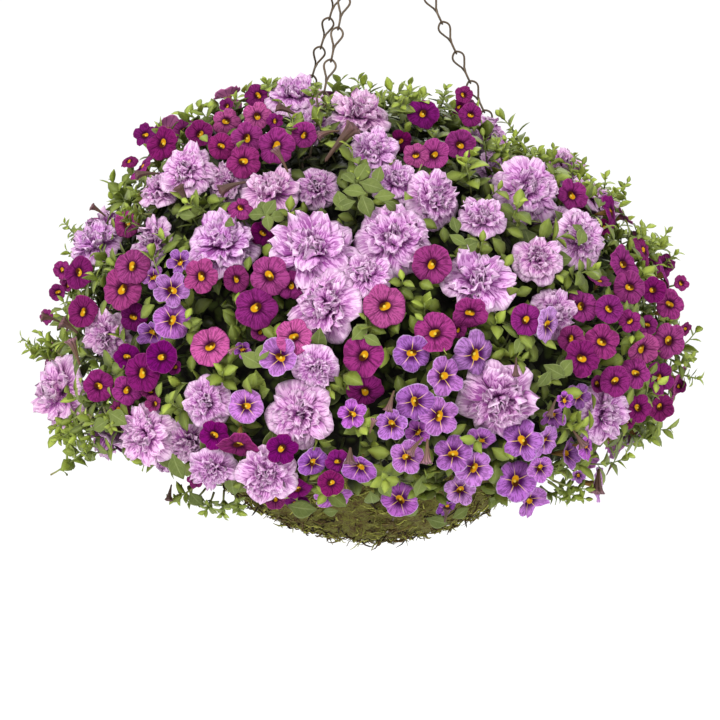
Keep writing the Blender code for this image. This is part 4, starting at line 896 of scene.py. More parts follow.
def bud_finish(name):
    """Withered trumpets: twisted stripes of plum on olive, darker on the older ones."""
    graph = Finish(name)
    u, v = graph.surface()
    dark, shade = graph.field("tone"), graph.field("shade")
    twist = graph.math("MULTIPLY_ADD", v, 1.2, graph.times(u, 10.0))
    stripe = graph.step(graph.math("PINGPONG", twist, 0.5), 0.30, 0.10)
    pale = graph.mix(graph.step(v, 0.25, 0.85), from_srgb(124, 92, 52), from_srgb(182, 122, 152))
    deep = graph.mix(graph.step(v, 0.3, 0.95), from_srgb(54, 36, 22), from_srgb(88, 44, 56))
    colour = graph.mix(dark, pale, deep)
    colour = graph.mix(graph.times(stripe, 0.8), colour, from_srgb(40, 14, 28))
    streak = graph.noise(graph.vector(graph.times(u, 26.0), v, shade), 1.0, 3.0)
    colour = graph.mix(graph.times(streak, 0.3), colour, from_srgb(170, 130, 110))
    return graph.close(colour, 0.6, relief=(streak, 0.5, 0.0008))


def moss_finish(name, colours, matted):
    """Moss: each strand has its own mix of green, olive and brown; the mat under it is blotched and rough."""
    graph = Finish(name)
    fine = graph.noise(graph.place(), 620.0, 4.0, 0.7)
    share = graph.noise(graph.place(), 130.0, 4.0, 0.7) if matted else graph.field("shade")
    share = graph.math("ADD", share, graph.math("MULTIPLY_ADD", fine, 1.1, -0.55))
    colour = graph.mix(graph.step(share, 0.36, 0.56), colours.bark, colours.moss)
    colour = graph.mix(graph.step(share, 0.62, 0.88), colour, from_srgb(164, 164, 78))
    colour = graph.mix(graph.step(share, 0.34, 0.16), colour, from_srgb(34, 24, 14))
    # The mat under the strands is darker overall: painted shade in the gaps between them.
    if matted:
        colour = graph.mix(0.22, colour, from_srgb(30, 24, 8))
    return graph.close(colour, 0.92, 0.2, relief=(fine, 0.8, 0.003 if matted else 0.0006))


def growth_finish(name):
    """Painted shade inside the mound: dark leaf-sized cells in deep greens, near-black shade between them."""
    graph = Finish(name)
    cells = graph.node("ShaderNodeTexVoronoi")
    graph.put(cells.inputs["Vector"], graph.place())
    cells.inputs["Scale"].default_value = 105.0
    hue = graph.noise(graph.place(), 60.0, 3.0)
    leaf = graph.mix(hue, from_srgb(36, 46, 16), from_srgb(82, 96, 40))
    # Near-black between the cells is painted shade in the gaps between leaves.
    colour = graph.mix(graph.step(cells.outputs["Distance"], 0.25, 0.6), leaf, from_srgb(16, 14, 8))
    return graph.close(colour, 0.85, 0.2, relief=(cells.outputs["Distance"], 1.0, 0.004))


def soil_finish(name, colours):
    """Crumbs of soil with pale specks."""
    graph = Finish(name)
    crumbs = graph.noise(graph.place(), 300.0, 5.0, 0.7)
    specks = graph.step(graph.noise(graph.place(), 700.0, 1.0), 0.66, 0.72)
    colour = graph.mix(crumbs, graph.mix(0.6, colours.soil, BLACK), colours.soil)
    return graph.close(graph.mix(specks, colour, from_srgb(190, 180, 160)), 0.95, relief=(crumbs, 0.9, 0.003))


def wire_finish(name, colours):
    """Weathered wire: dark brown-grey with duller rust-brown patches."""
    graph = Finish(name)
    patches = graph.noise(graph.place(), 210.0, 4.0)
    worn = graph.step(patches, 0.45, 0.65)
    colour = graph.mix(worn, colours.wire, from_srgb(98, 80, 62))
    rough = graph.math("MULTIPLY_ADD", worn, 0.25, 0.38)
    return graph.close(colour, rough, relief=(patches, 0.3, 0.0004), metallic=0.55)


# Pieces

_blooms = {}


def blooms():
    """The layout's arrays by name. They are made once."""
    if not _blooms:
        keys = ("kind", "middle", "facing", "radius", "turn", "tone")
        _blooms.update(zip(keys, layout()))
    return _blooms


def blooms_of(kind):
    rows = blooms()["kind"] == kind
    return tuple(blooms()[key][rows] for key in ("middle", "facing", "radius", "turn", "tone"))


# Hook, chains and basket
HOOK_WIRE = 0.0017
EYE_RADIUS = 0.009
EYE_HEIGHT = 0.536
CROOK_RADIUS = 0.0143
CROOK_STARTS = -35
CROOK_ENDS = 205
STEM_LENGTH = 0.011
STEM_OFFSET = 0.0055
CHAIN_TURNS = (("chain_front", -27, -0.0050), ("chain_right", 108, 0.0), ("chain_back", -144, 0.0050))
CHAIN_LINKS = 15
CHAIN_WIRE = 0.0010
LINK_HALF_WIDTH = 0.0046
TWIST_LINKS = 7
EYE_GAP = 0.0012
RIM_GAP = 0.0007
RIM_WIRE = 0.0020
LOOP_SHAPE = 0.72  # under 1, a loop is widest nearer to its end
LINK_OVERLAP = 1.1  # how far a link goes past its joint, in radii of its wire
HOOP_HEIGHT = 0.080
RIB_SINK = 0.0024
FIRST_RIB = 9.0
MAT_RADIUS = 0.1752
MAT_INSIDE = 0.1620
STRAND_RADIUS = 0.1762
STRAND_HEIGHT = 0.1768
SOIL_RADIUS = 0.1590
BOWL_BOTTOM = 89.8  # degrees below the bowl's middle


def smoothed(path, rounds):
    """Each inner point moves to the mean of itself and its neighbours, round after round."""
    path = np.array(path, float)
    for _ in range(rounds):
        path[1:-1] = (path[:-2] + 2 * path[1:-1] + path[2:]) / 4
    return path


def refined(path, number):
    """A path with so many points, at even steps between its corners."""
    shares = np.linspace(0, len(path) - 1, number)
    return np.stack([np.interp(shares, range(len(path)), values) for values in np.transpose(path)], axis=-1)


def hook_piece(colours):
    """A ring for the eye, and a stem that bends out into the crook, an arc of a circle."""
    angle = np.linspace(0, 2 * np.pi, 48, endpoint=False)
    level = EYE_HEIGHT - DROP
    eye = np.stack((0 * angle, EYE_RADIUS * np.sin(angle), level - EYE_RADIUS * np.cos(angle)), axis=-1)
    foot = level + EYE_RADIUS
    arc = np.radians(np.linspace(CROOK_STARTS, CROOK_ENDS, 60))
    top = HOOK_WIRE - CROOK_RADIUS
    crook = np.stack((CROOK_RADIUS * np.cos(arc), 0 * arc, top + CROOK_RADIUS * np.sin(arc)), axis=-1)
    bend = (STEM_OFFSET, 0, foot + 2 * STEM_LENGTH)
    stem = refined([(0, 0, foot), (0, 0, foot + STEM_LENGTH), bend, crook[0]], 40)
    path = np.concatenate((smoothed(np.concatenate((stem, crook[1:8])), 12), crook[8:]))
    skin = Skin()
    skin.add(swept(eye[None], HOOK_WIRE, 10, closed=True), caps=False)
    number = np.arange(len(path))
    ends = np.minimum(1.0, np.sqrt(np.minimum(number + 0.2, len(path) - number) / 1.5))
    skin.add(swept(path[None], HOOK_WIRE * ends, 10))
    skin.piece("hook", wire_finish("Hook wire", colours), ["hanger_hook"])


def chain_joints(turn, along_eye):
    """Joints between a chain's links, and the two directions across it at each, which turn towards the rim."""
    lift = math.sqrt(EYE_RADIUS**2 - along_eye**2)
    top = np.array((0, along_eye, EYE_HEIGHT - DROP - lift))
    foot = on_turn(BOWL_RADIUS, turn, BOWL_CENTRE)
    along = unit(foot - top)
    top = top - along * (HOOK_WIRE + CHAIN_WIRE + EYE_GAP)
    foot = foot + along * (RIM_WIRE + CHAIN_WIRE + RIM_GAP)
    across = unit(np.cross(along, (0.0, 1.0, 0.0)))
    other = np.cross(along, across)
    rim = np.array((math.cos(math.radians(turn)), math.sin(math.radians(turn)), 0))
    wanted = unit(np.cross(along, rim))
    total = math.atan2(wanted @ other, wanted @ across) - math.pi / 2
    total = (total + math.pi / 2) % math.pi - math.pi / 2
    number = np.arange(CHAIN_LINKS + 1)
    angle = (total * np.maximum(0.0, (number - CHAIN_LINKS + TWIST_LINKS) / TWIST_LINKS))[:, None]
    u = np.cos(angle) * across + np.sin(angle) * other
    return top + (foot - top) * number[:, None] / CHAIN_LINKS, u, np.cross(along, u)


def chain_pieces(sizes, colours):
    """Jack chain: each link is one wire in a figure of eight, whose lower loop lies a quarter turn on from the
    upper one. Along the link it goes as a cosine; across it goes as a sine of each half, to either side."""
    finish = wire_finish("Chain wire", colours)
    t = np.linspace(0, 2 * np.pi, 44, endpoint=False)
    down = (1 - np.cos(t)) / 2
    side = np.where(t < np.pi, 1.0, -1.0)
    waist = np.exp(-(((down - 0.5) / 0.10) ** 2)) * sizes.link_wire * 1.15
    loops = [np.sin(np.pi * np.clip(share, 0, 1) ** LOOP_SHAPE) for share in (2 * down, 2 - 2 * down)]
    upper, lower = ((side * (loop * LINK_HALF_WIDTH + waist))[:, None] for loop in loops)
    over = LINK_OVERLAP * sizes.link_wire
    for name, turn, along_eye in CHAIN_TURNS:
        joints, u, v = chain_joints(turn, along_eye)
        step = joints[1:] - joints[:-1]
        reach = np.linalg.norm(step, axis=-1, keepdims=True)
        level = (down * (reach + 2 * over) - over)[..., None]
        paths = joints[:-1, None] + level * unit(step)[:, None] + upper * u[:-1, None] + lower * v[1:, None]
        skin = Skin()
        skin.add(swept(paths, sizes.link_wire, 6, closed=True), caps=False)
        skin.piece(name + "_links", finish, [name])


def basket_piece(sizes, colours):
    """Rim, ribs and hoop: rings and half rings of round wire."""
    skin = Skin()
    turns = np.linspace(0, 360, 144, endpoint=False)
    rim = on_turn(BOWL_RADIUS, turns, BOWL_CENTRE)
    hoop_reach = math.sqrt(BOWL_RADIUS**2 - (BOWL_CENTRE - HOOP_HEIGHT) ** 2)
    hoop = on_turn(hoop_reach, turns, HOOP_HEIGHT)
    angle = np.linspace(0, np.pi, 60)
    reach = BOWL_RADIUS - RIB_SINK
    ribs = [on_turn(reach * np.cos(angle), FIRST_RIB + 60 * k, BOWL_CENTRE - reach * np.sin(angle))
            for k in range(3)]
    skin.add(swept(rim[None], sizes.rim_wire, 8, closed=True), caps=False)
    skin.add(swept(hoop[None], sizes.rib_wire, 6, closed=True), caps=False)
    skin.add(swept(np.array(ribs), sizes.rib_wire, 6))
    skin.piece("basket_wire", wire_finish("Basket wire", colours), ["wire_basket"])


def bowl_section(radius, low, high, rows):
    """Arc of the bowl between two angles below its middle, in degrees."""
    angle = np.radians(np.linspace(low, high, rows))
    return np.stack((radius * np.cos(angle), BOWL_CENTRE - radius * np.sin(angle)), axis=-1)


def moss_pieces(sizes, colours):
    """The mat is a lumpy bowl with a wall. Strands lie on it: each starts on the bowl and runs a way over it,
    lifting a little and curling to a side, and thins to its end."""
    outer = bowl_section(MAT_RADIUS, BOWL_BOTTOM, 3, 44)
    inner = bowl_section(MAT_INSIDE, 5, BOWL_BOTTOM, 20)
    skin = Skin()
    grid = revolved(np.concatenate((outer, inner)), 120, rough=0.0026, scale=0.015, seed=5)
    skin.add(grid, shade=0.5)
    skin.piece("moss_mat", moss_finish("Moss mat", colours, True), ["moss_liner"])

    draw = np.random.default_rng(SEED + 5)
    count = sizes.strands
    turn = draw.uniform(0, 2 * np.pi, count)
    sink = np.arcsin(draw.uniform(0.10, 1.0, count))
    out = np.stack((np.cos(sink) * np.cos(turn), np.cos(sink) * np.sin(turn), -np.sin(sink)), axis=-1)
    centre = np.array((0, 0, BOWL_CENTRE - DROP))
    way = unit(np.cross(out, unit(draw.normal(0, 1, (count, 3)) + (0, 0, 1.4))))
    bend = unit(np.cross(out, way)) * draw.normal(0, 0.45, (count, 1))
    length = sizes.strand_length * draw.uniform(0.35, 1.7, count)
    lift = np.abs(draw.normal(0, 0.0040, count)) * (draw.random(count) < 0.6)
    share = np.linspace(0, 1, 5)[None, :, None]
    level = length[:, None, None]
    path = (out * STRAND_RADIUS)[:, None] + way[:, None] * level * share + bend[:, None] * level * share**2
    wiggle = np.sin(share * 7 + draw.uniform(0, 6.3, (count, 1, 1))) * 0.0011
    raised = draw.uniform(-0.001, 0.002, (count, 1, 1))
    height = STRAND_HEIGHT + lift[:, None, None] * share**1.5 + wiggle + raised
    path = centre + unit(path) * height
    radius = draw.uniform(0.00040, 0.00100, (count, 1)) * np.array((0.5, 1.1, 1.0, 0.8, 0.25))
    strands = Skin()
    strands.add(swept(path, radius, 3), shade=draw.beta(1.7, 1.9, count))
    strands.piece("moss_strands", moss_finish("Moss strands", colours, False))


def soil_piece(colours):
    """A heap of soil: flat bowl shape under a lumpy, slightly domed top."""
    side = bowl_section(SOIL_RADIUS, BOWL_BOTTOM, 12, 16)
    top = [(0.150, 0.158), (0.140, 0.160), (0.110, 0.163), (0.080, 0.1645), (0.050, 0.165), (0.0004, 0.1652)]
    skin = Skin()
    grid = revolved(np.concatenate((side, top)), 60, rough=0.0006, scale=0.012, seed=9)
    skin.add(grid)
    skin.piece("soil", soil_finish("Potting soil", colours), ["potting_soil"])


def growth_piece():
    """The inside of the mound, painted dark as foliage in shade: its section carried round, with leaf-sized
    lumps.
    """
    section = [
        (0.0004, 0.172), (0.150, 0.172), (0.182, 0.150), (0.184, 0.120), (0.176, 0.092), (0.184, 0.086),
        (0.196, 0.110), (0.206, 0.150), (0.202, 0.195), (0.186, 0.234), (0.153, 0.268), (0.105, 0.292),
        (0.060, 0.304), (0.0004, 0.308),
    ]
    skin = Skin()
    grid = revolved(smoothed(refined(section, 66), 6), 110, rough=0.0050, scale=0.020, seed=13)
    skin.add(grid)
    skin.piece("inner_growth", growth_finish("Inner growth"), nodes_named("foliage"))


# Leaves
NARROW_OUTLINE = (0.10, 0.74, 1.00, 0.68, 0.06)
BROAD_OUTLINE = (0.10, 0.34, 0.80, 1.00, 0.96, 0.74, 0.38, 0.06)
LEAVES_A_SPRIG = 9
OUTLINE_LEAVES = 12
INNER_LEAVES = 1500
LOWEST_SPRIG = 0.078
LOWEST_INNER_LEAF = 0.086
SPARE_PLACES = 1.30  # places are drawn all round, and those under the lowest are dropped
PLACE_SCATTER = 0.035
TOP_SINK = 0.026
STALK_LENGTH = 0.050
STALK_BEND = 0.018


def clear_of_blooms(points, reach=0.80):
    """Which points leave the faces of the blooms open: not close over a bloom and within its reach."""
    rel = points[:, None] - blooms()["middle"][None]
    ahead = (rel * blooms()["facing"][None]).sum(axis=-1)
    aside = np.linalg.norm(rel - ahead[..., None] * blooms()["facing"][None], axis=-1)
    radius = blooms()["radius"][None]
    return ~((aside < reach * radius) & (ahead > -0.50 * radius) & (ahead < 0.9 * radius + 0.010)).any(axis=1)


def mound_places(count, draw, lowest):
    """Points on the mound's outline, spread evenly over the ways out from its middle: each is a golden angle on
    from the last and one step lower, and a little off that place."""
    wanted = int(count * SPARE_PLACES)
    rise = 1 - 2 * (np.arange(wanted) + 0.5) / wanted
    turn = math.pi * (3 - math.sqrt(5)) * np.arange(wanted)
    level = np.sqrt(1 - rise**2)
    ways = np.stack((level * np.cos(turn), level * np.sin(turn), rise), axis=-1)
    ways = unit(ways + draw.normal(0, PLACE_SCATTER, (wanted, 3)))
    draw.shuffle(ways)
    far = np.linspace(0.04, 0.34, 121)
    line = mound_middle() + ways[:, None] * far[None, :, None]
    out = (mound_excess(line) > 0) | (line[..., 2] > MOUND_HEIGHTS[-1] - DROP - TOP_SINK)
    hit = np.argmax(out, axis=1)
    points = mound_middle() + ways * far[hit][:, None]
    kept = points[:, 2] + DROP > lowest
    return points[kept][:count], ways[kept][:count]


def shoots(tips, roots, sag, number, draw):
    """Leaf places along shoots. A shoot runs from its root to its tip and sags between; the leaves follow it in
    a spiral of 137.5 degrees, at half a right angle to it, closer and smaller towards the tip."""
    count = len(tips)
    share = np.linspace(0, 1, 6)[None, :, None]
    middle = (tips + roots) / 2 + sag
    path = bent(roots[:, None], middle[:, None], tips[:, None], share)
    at = np.linspace(0.30, 0.99, number)[None, :, None]
    places = bent(roots[:, None], middle[:, None], tips[:, None], at)
    stem = unit(2 * (1 - at) * (middle - roots)[:, None] + 2 * at * (tips - middle)[:, None])
    turn = np.radians(137.5) * np.arange(number)[None] + draw.uniform(0, 6.3, (count, 1))
    across, _ = turned_frames(stem, turn)
    lean = np.radians(np.where(np.arange(number) > number - 4, 34, 58))[None, :, None]
    lean = lean + draw.normal(0, 0.16, (count, number, 1))
    way = unit(np.cos(lean) * stem + np.sin(lean) * across)
    up = square_to(way, stem)
    return path, places, way, up


def leaf_stack(skin, places, way, up, length, tone, draw, outline=NARROW_OUTLINE, width=0.58, columns=4,
               keep=None):
    """Adds leaves that start at the places, and are the width times as wide as long, more or less. Keep marks
    the leaves that are made."""
    stacks = (*listed(places, way, up), length.reshape(-1), tone.reshape(-1))
    places, way, up, length, tone = stacks if keep is None else (stack[keep] for stack in stacks)
    count = len(places)
    grids = blades(places, way, up, length, length * draw.uniform(width * 0.85, width * 1.15, count), outline,
                   draw.normal(-0.55, 0.35, count), 0.00025, columns, fold=0.22, ruffle=0.02, phase=1.0)
    skin.add(grids, shade=draw.random(count), tone=tone)


def leaf_pieces(sizes, colours):
    """Small leaves on shoots all over the mound, and sprigs that stand out of its outline."""
    draw = np.random.default_rng(SEED + 7)
    finish = leaf_finish("Leaf", colours.leaf, colours.tip, from_srgb(146, 166, 84), False)
    stems = Skin()
    tips, ways = mound_places(sizes.sprigs, draw, LOWEST_SPRIG)
    count = len(tips)
    tips = tips - ways * draw.uniform(-0.002, 0.036, (count, 1))
    lean = unit(ways + draw.normal(0, 0.35, (count, 3)) + (0, 0, 0.30))
    roots = tips - lean * draw.uniform(0.034, 0.052, (count, 1))
    sag = ways * 0.006 + (0, 0, -0.004)
    path, places, way, up = shoots(tips, roots, sag, LEAVES_A_SPRIG, draw)
    bare = clear_of_blooms(path[:, -1], 0.9) & clear_of_blooms(path[:, -2], 0.9)
    stems.add(swept(path[bare], np.linspace(0.0009, 0.0005, 6)[None], 3), shade=0.5)
    order = np.linspace(0, 1, LEAVES_A_SPRIG)[None]
    length = sizes.leaf_length * (1.12 - 0.45 * order**3) * draw.uniform(0.75, 1.3, (count, LEAVES_A_SPRIG))
    tone = np.clip(order**3 * 0.75 + draw.normal(0.12, 0.18, (count, LEAVES_A_SPRIG)), 0, 1)
    places, way, up = listed(places, way, up)
    reach = length.reshape(-1, 1)
    keep = clear_of_blooms(places, 0.7) & clear_of_blooms(places + way * (reach * 0.6), 0.95)
    keep = keep & clear_of_blooms(places + way * reach, 0.85)
    in_front = places[:, 1] < 0
    for name, half in (("leaves_front", in_front), ("leaves_back", ~in_front)):
        skin = Skin()
        leaf_stack(skin, places, way, up, length, tone, draw, keep=keep & half)
        if name == "leaves_front":
            add_outline_sprigs(skin, stems, sizes, draw)
        skin.piece(name, finish, painted_shade=True)
    stems.piece("shoot_stems", stalk_finish("Shoot stem", from_srgb(122, 140, 66)), painted_shade=True)

    tips, ways = mound_places(INNER_LEAVES, draw, LOWEST_INNER_LEAF)
    count = len(tips)
    way = unit(np.cross(ways, draw.normal(0, 1, (count, 3))) + ways * draw.uniform(-0.1, 0.5, (count, 1)))
    up = square_to(way, ways)
    length = sizes.leaf_length * draw.uniform(0.8, 1.3, count)
    tips = tips - ways * draw.uniform(0.008, 0.026, (count, 1))
    skin = Skin()
    leaf_stack(skin, tips - way * length[:, None] / 2, way, up, length, draw.uniform(0.0, 0.6, count), draw,
               width=0.60, keep=clear_of_blooms(tips, 1.05))
    skin.piece("inner_leaves", finish, painted_shade=True)


def add_outline_sprigs(skin, stems, sizes, draw):
    """Adds the sprigs that the picture shows against its ground."""
    places = np.array(SPRIGS, float)
    tips = np.array([seen_at(x, y, -0.002) for x, y in places[:, :2]])
    roots = np.array([seen_at(x, y, 0.016) for x, y in places[:, 2:]])
    tips = tips * 0.94 + roots * 0.06
    path, spots, way, up = shoots(tips, roots, np.array((0, 0, -0.003)), OUTLINE_LEAVES, draw)
    stems.add(swept(path, np.linspace(0.0011, 0.0006, 6)[None], 3), shade=0.5)
    shape = spots.shape[:2]
    length = sizes.leaf_length * draw.uniform(0.58, 0.92, shape) * np.linspace(1.05, 0.60, OUTLINE_LEAVES)
    tone = np.clip(np.linspace(0, 0.7, OUTLINE_LEAVES) + draw.normal(0.1, 0.15, shape), 0, 1)
    leaf_stack(skin, spots, way, up, length, tone, draw)


def broad_leaf_piece(sizes, colours):
    """Petunia leaves: a ring of three behind each double bloom, and the large ones that the picture shows."""
    draw = np.random.default_rng(SEED + 11)
    middle, facing, radius, turn, _ = blooms_of(LILAC)
    round_turn = turn[:, None] + np.radians((0, 120, 240)) + draw.normal(0, 0.4, (len(middle), 3))
    faced = np.repeat(facing[:, None], 3, axis=1)
    across, _ = turned_frames(faced, round_turn)
    way = unit(across + faced * draw.normal(0.05, 0.25, (len(middle), 3, 1)))
    base = middle[:, None] - faced * (radius[:, None, None] * 0.55) + across * (radius[:, None, None] * 0.42)
    up = square_to(way, faced)
    length = sizes.broad_leaf_length * draw.uniform(0.75, 1.25, way.shape[:2])
    tone = draw.uniform(0.0, 0.5, length.shape)
    skin = Skin()
    leaf_stack(skin, base, way, up, length, tone, draw, BROAD_OUTLINE, 0.62, 8)

    right, ahead, rise = view_axes()
    table = np.array(LARGE_LEAVES, float)
    angle = np.radians(table[:, 3:])
    places = np.array([seen_at(x, y, 0.001) for x, y in table[:, :2]])
    normal = unit(mound_normal(places) - 0.8 * ahead + draw.normal(0, 0.22, places.shape))
    way = square_to(normal, np.cos(angle) * right + np.sin(angle) * rise)
    length = table[:, 2] * PIXEL * 0.94
    tone = draw.uniform(0.0, 0.8, len(table))
    base = places - way * length[:, None] / 2
    leaf_stack(skin, base, way, normal, length, tone, draw, BROAD_OUTLINE, 0.64, 8)
    finish = leaf_finish("Petunia leaf", colours.sage, from_srgb(112, 128, 60), from_srgb(156, 166, 110), True)
    skin.piece("petunia_leaves", finish, painted_shade=True)


def stalk_piece():
    """A stalk from inside the mound to the foot of each bloom, and five sepals that clasp its tube."""
    middle, facing, radius, turn = (blooms()[key] for key in ("middle", "facing", "radius", "turn"))
    foot = middle - facing * (radius * np.where(blooms()["kind"] == LILAC, 0.78, 0.98))[:, None]
    root = foot + unit(mound_middle() - foot) * STALK_LENGTH
    share = np.linspace(0, 1, 6)[None, :, None]
    path = bent(root[:, None], (foot - facing * STALK_BEND)[:, None], foot[:, None], share)
    skin = Skin()
    skin.add(swept(path, np.linspace(0.0012, 0.0007, 6)[None], 4), shade=0.5, tone=0.3)
    draw = np.random.default_rng(SEED + 17)
    faced = np.repeat(facing[:, None], 5, axis=1)
    across, _ = turned_frames(faced, turn[:, None] + np.radians(72) * np.arange(5)[None])
    way = unit(faced + across * 0.45)
    up = square_to(way, across)
    base = foot[:, None] - faced * 0.0006 + across * 0.0006
    size = np.repeat(0.0045 + 0.09 * radius, 5)
    grids = blades(*listed(base, way, up), size, size * 0.30, (0.5, 1.0, 0.1),
                   draw.normal(0.3, 0.2, len(size)), 0.0002)
    skin.add(grids, np.linspace(0.6, 1, 3), shade=0.5, tone=0.3)
    skin.piece("stalks", stalk_finish("Stalk", from_srgb(112, 140, 60)), painted_shade=True)


# Blooms
LEAST_SINGLE = 0.0074
HALF_OPEN = 0.0092
NEARLY_UPRIGHT = 0.995  # cosine to the facing, from which a petal takes its up from the side


def single_piece(name, kind, finish, notch, seed):
    """Single blooms of one kind. The smallest are half open."""
    draw = np.random.default_rng(seed)
    middle, facing, radius, turn, tone = blooms_of(kind)
    count = len(middle)
    radius = np.maximum(radius, LEAST_SINGLE) * draw.uniform(0.94, 1.03, count)
    shut = np.where(radius < HALF_OPEN, draw.uniform(0.1, 0.5, count), 0.0)
    tone = np.clip(tone + draw.normal(0, 0.02 + 1.2 * notch, count), 0, 1)
    facing = unit(facing + draw.normal(0, 0.10 + 0.6 * notch, (count, 3)) * 0.8)
    notches = notch * draw.uniform(0.5, 2.2, count)
    cup = draw.normal(0.02, 0.05 + 0.9 * notch, count)
    wave = draw.uniform(0.02, 0.06 + 0.9 * notch, count)
    grids = corollas(middle, facing, radius, turn, SINGLE_PROFILE, 25, notches, cup, wave, 0.042, shut, draw)
    skin = Skin()
    skin.add(grids, [row[2] for row in SINGLE_PROFILE], tube=False, shade=draw.random(count), tone=tone)
    skin.piece(name + "_blooms", finish, nodes_named(name), painted_shade=True)


RUFFLE_OUTLINE = (0.25, 0.74, 1.0, 0.96, 0.60)
WHORLS = (  # petals, rise in degrees, length, width, how far from the axis, ruffle
    (8, 14, 0.76, 0.58, 0.20, 0.13),
    (8, 36, 0.62, 0.46, 0.18, 0.20),
    (8, 56, 0.52, 0.38, 0.13, 0.26),
    (6, 76, 0.44, 0.32, 0.05, 0.30),
)


def double_pieces(colours):
    """Double blooms: a wide ruffled corolla, filled by whorls of crumpled petals that stand up more towards
    the middle."""
    draw = np.random.default_rng(SEED + 23)
    middle, facing, radius, turn, tone = blooms_of(LILAC)
    count = len(middle)
    tone = np.clip(tone + draw.normal(0, 0.12, count), 0, 1)
    shade = draw.random(count)
    limbs = Skin()
    notch = 0.16 * draw.uniform(0.5, 1.5, count)
    cup = draw.normal(-0.06, 0.06, count)
    wave = draw.uniform(0.02, 0.08, count)
    grids = corollas(middle - facing * 0.10 * radius[:, None], facing, radius * 1.03, turn, DOUBLE_PROFILE, 40,
                     notch, cup, wave, 0.055, 0.0, draw)
    limbs.add(grids, [row[2] for row in DOUBLE_PROFILE], tube=False, shade=shade, tone=tone)
    limbs.piece("lilac_corollas", ruffle_finish("Lilac corolla", colours, False),
                nodes_named("lilac"), painted_shade=True)

    finish = ruffle_finish("Lilac ruffle", colours, True)
    for number, (petals, rise, length, width, out, ruffle) in enumerate(WHORLS):
        if number % 2 == 0:
            skin = Skin()
        turns = turn[:, None] + 2 * np.pi * np.arange(petals)[None] / petals + 0.7 * number
        turns = turns + draw.normal(0, 0.14, turns.shape)
        faced = np.repeat(facing[:, None], petals, axis=1)
        across, _ = turned_frames(faced, turns)
        lean = np.radians(rise + draw.normal(0, 9, turns.shape))[..., None]
        way = unit(np.cos(lean) * across + np.sin(lean) * faced)
        upright = np.abs((faced * way).sum(axis=-1, keepdims=True)) > NEARLY_UPRIGHT
        up = np.where(upright, across, square_to(way, faced))
        size = np.repeat(radius, petals)
        base = middle[:, None] + across * (radius[:, None, None] * out) - faced * (radius[:, None, None] * 0.04)
        total = len(size)
        grids = blades(
            *listed(base, way, up),
            size * length * draw.uniform(0.8, 1.12, total), size * width * draw.uniform(0.85, 1.3, total),
            RUFFLE_OUTLINE, draw.normal(-0.40, 0.85, total), 0.00022, 12,
            fold=draw.normal(0.05, 0.15, total), ruffle=ruffle * draw.uniform(0.6, 1.4, total),
            waves=draw.uniform(1.6, 3.4, total), phase=draw.uniform(0, 6.3, total), fray=0.05,
        )
        shades = np.repeat(shade, petals) * 0.4 + draw.uniform(0, 0.5, total) + 0.08 * number
        skin.add(grids, np.linspace(0.05, 1, len(RUFFLE_OUTLINE)), shade=np.clip(shades, 0, 1),
                 tone=np.repeat(tone, petals))
        if number % 2:
            name = ("lilac_outer_ruffles", "lilac_inner_ruffles")[number // 2]
            skin.piece(name, finish, painted_shade=True)


def bud_piece():
    """Withered trumpets: a tube that widens towards its mouth, in twisted pleats; the mouth goes back in."""
    right, ahead, rise = view_axes()
    table = np.array(BUDS, float)
    draw = np.random.default_rng(SEED + 29)
    angle = np.radians(table[:, 4:5])
    way = unit(np.cos(angle) * right + np.sin(angle) * rise - 0.25 * ahead)
    places = np.array([seen_at(x, y, -0.001) for x, y in table[:, :2]])
    length = table[:, 2] * PIXEL
    profile = np.array(((0.05, -0.5), (0.24, -0.46), (0.30, -0.25), (0.40, -0.02), (0.56, 0.18), (0.80, 0.32),
                        (1.15, 0.41), (1.02, 0.43), (0.62, 0.34), (0.10, 0.20)))
    turns = 2 * np.pi * np.arange(20) / 20
    pleat = 1 - 0.30 * np.cos(5 * turns + 3 * profile[:, 1:]) * (profile[:, :1] > 0.35)
    across, other = turned_frames(way, draw.uniform(0, 6.3, len(way)))
    half = (table[:, 3] * PIXEL * 0.36)[:, None, None] * profile[None, :, :1] * pleat[None]
    ring = np.cos(turns)[None, :, None] * across[:, None] + np.sin(turns)[None, :, None] * other[:, None]
    sag = (length[:, None] * 0.22 * (profile[None, :, 1] - 0.2) ** 2)[..., None, None] * -rise
    grids = (places[:, None, None] + half[..., None] * ring[:, None] + sag
             + (length[:, None] * profile[None, :, 1])[..., None, None] * way[:, None, None])
    skin = Skin()
    skin.add(grids, shade=draw.random(len(way)), tone=table[:, 5])
    skin.piece("closed_trumpets", bud_finish("Closed trumpet"))


# Stage

def area_light(name, place, aim, size, power, colour=WHITE):
    light = bpy.data.lights.new(name, "AREA")
    light.shape = "DISK"
    light.size = size
    light.energy = power
    light.color = colour
    made = bpy.data.objects.new(name, light)
    made.location = place
    made.rotation_euler = (Vector(aim) - Vector(place)).to_track_quat("-Z", "Y").to_euler()
    bpy.context.scene.collection.objects.link(made)


